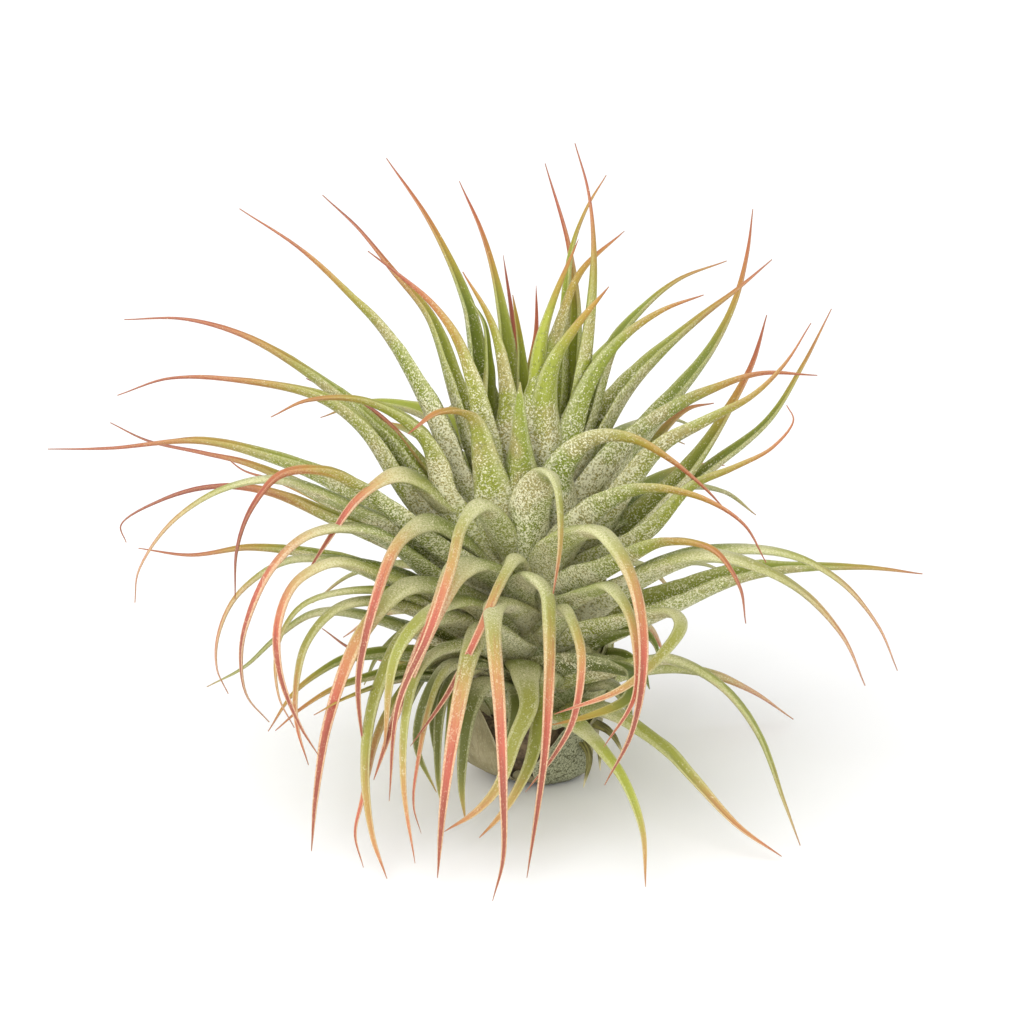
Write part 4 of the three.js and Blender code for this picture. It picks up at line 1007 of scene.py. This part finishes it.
def sheath_paint():
    """Papery tan with darker veins, or pale green closely set with scales round dark dashes."""
    paint = Paint("dry_sheath")
    brown, aside, up, own = paint.attributes("tan aside up own")
    surface = paint.vector(aside * 0.5, up * 0.55, own * 7.0)
    veins = paint.noise(paint.vector(aside, up * 0.12, own * 7.0), 26.0, 2.0, 0.6)
    fleck = paint.noise(surface, 52.0, 3.0, 0.65)
    dash = paint.noise(paint.vector(aside * 0.45 + up * 0.3, up * 1.3 - aside * 0.2, own * 5.0), 30.0, 0.0)
    cloud = paint.noise(paint.place(), 260.0, 3.0, 0.6)
    papery = paint.mix(paint.band(cloud, 0.3, 0.7), tint(142, 134, 98), tint(176, 166, 130))
    papery = paint.mix(paint.band(veins, 0.5, 0.72) * 0.35, papery, tint(122, 108, 76))
    papery = paint.mix(paint.band(fleck, 0.56, 0.66) * 0.5, papery, tint(206, 196, 164))
    scaly = paint.mix(paint.band(fleck, 0.4, 0.58), tint(112, 114, 84), tint(176, 178, 146))
    scaly = paint.mix(paint.band(dash, 0.6, 0.66) * 0.8, scaly, tint(76, 76, 50))
    colour = paint.mix(brown, scaly, papery)
    rim = paint.band(maths("ABSOLUTE", aside), 0.9, 1.0)
    colour = paint.mix(rim * 0.55, colour, tint(214, 204, 170))
    relief = paint.bump(veins, 0.00035, 0.5)
    relief = paint.bump(fleck + 0.6 * cloud, 0.00018, 0.7, relief)
    rough = 0.62 + 0.25 * fleck
    return paint.finish(Base_Color=colour, Roughness=rough, Normal=relief, Specular_IOR_Level=0.3)


core_profile = [(height, radius - np.interp(height, *CORE_INSETS)) for height, radius in BULB]
core = lathed("sheath_core", core_profile, CORE_SIDES, CORE_RINGS, CORE_WAVER, lean_at)
core.data.materials.append(core_shade_paint())
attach(core, "root")
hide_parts("basal_sheaths")

sheaths = placed("old_sheaths", shell_mesh("old_sheaths", SHEATHS, BULB, SHEATH_GRID, lean_at))
sheaths.data.materials.append(sheath_paint())
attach(sheaths, "root")
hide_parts("basal_sheaths")

# The withered stubs: the last dead blades, shrunk to olive straps that hang beside the foot and
# bleached at their torn ends. Each row is like a leaf's.
STUBS = [
    [7.5, 1.5, 1, [4.5, -5.2, 7.6], [6.7, -8.4, 5.6], [6, -9.3, 1.2]],
    [8, 1.3, 1, [5.2, -4.6, 8], [7.9, -7.4, 6.4], [8.3, -8, 3.2]],
    [8.5, 1.8, 1, [6, -3.4, 8.8], [9.6, -6, 8], [11.6, -7.4, 5.2]],
]
STUB_FOOT = 1.3  # over the blade's width
STUB_AROUND = 12


def stub_foot(row):
    return STUB_FOOT * row[1]


def stub_paint():
    """Dull olive, browner down the strap, bleached at the torn end, with dark lengthwise creases."""
    paint = Paint("withered_stub")
    at, out, run, own = paint.attributes("at out run own")
    creases = paint.noise(paint.vector(out * 2.0, run * 0.15, own), 2600.0, 3.0, 0.6)
    colour = paint.mix(paint.band(creases, 0.35, 0.65), tint(82, 78, 34), tint(142, 136, 78))
    colour = paint.mix(paint.band(at, 0.86, 1.0), colour, tint(226, 214, 170))
    relief = paint.bump(creases, 0.0002, 0.8)
    return paint.finish(Base_Color=colour, Roughness=0.6 + 0.2 * creases, Normal=relief)


stubs = grown(
    "withered_stubs", midrib_mesh(STUBS, "stub_midribs", stub_foot), sweep,
    {"Corners around": STUB_AROUND, "Finish": stub_paint()},
)
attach(stubs, "root")
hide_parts("basal_sheaths")

# The ground and the light: a pale seamless sweep under one broad soft lamp from the upper left, a
# second one from the camera's side and a white sky.
GROUND = 3.0
GROUND_SHADE = (0.9, 0.9, 0.9, 1)
LAMPS_AIM = np.array([0, 0, 40]) * MM
WHITE = (1, 1, 1, 1)
SKY_STRENGTH = 0.9


def softbox(name, place, size, power):
    """A square lamp that faces the middle of the plant."""
    lamp = bpy.data.lights.new(name, "AREA")
    lamp.size = size
    lamp.energy = power
    holder = placed(name, lamp)
    holder.location = place
    way = LAMPS_AIM - np.array(place)
    flat = math.hypot(way[0], way[1])
    holder.rotation_euler = (math.atan2(flat, -way[2]), 0, math.atan2(way[1], way[0]) - math.pi / 2)


corners = [(-GROUND, -GROUND, 0), (GROUND, -GROUND, 0), (GROUND, GROUND, 0), (-GROUND, GROUND, 0)]
ground_mesh = bpy.data.meshes.new("ground")
ground_mesh.from_pydata(corners, [], [(0, 1, 2, 3)])
ground_mesh.materials.append(Paint("ground").finish(Base_Color=GROUND_SHADE, Roughness=0.9))
ground = placed("ground", ground_mesh)

softbox("key", (-0.5, -0.45, 0.9), 1.1, 6)
softbox("fill", (0.0, -1.0, 0.55), 1.1, 6)
world = bpy.data.worlds.new("studio")
bpy.context.scene.world = world
world.use_nodes = True
world.node_tree.nodes["Background"].inputs["Color"].default_value = WHITE
world.node_tree.nodes["Background"].inputs["Strength"].default_value = SKY_STRENGTH
bpy.context.scene.view_settings.view_transform = "Standard"
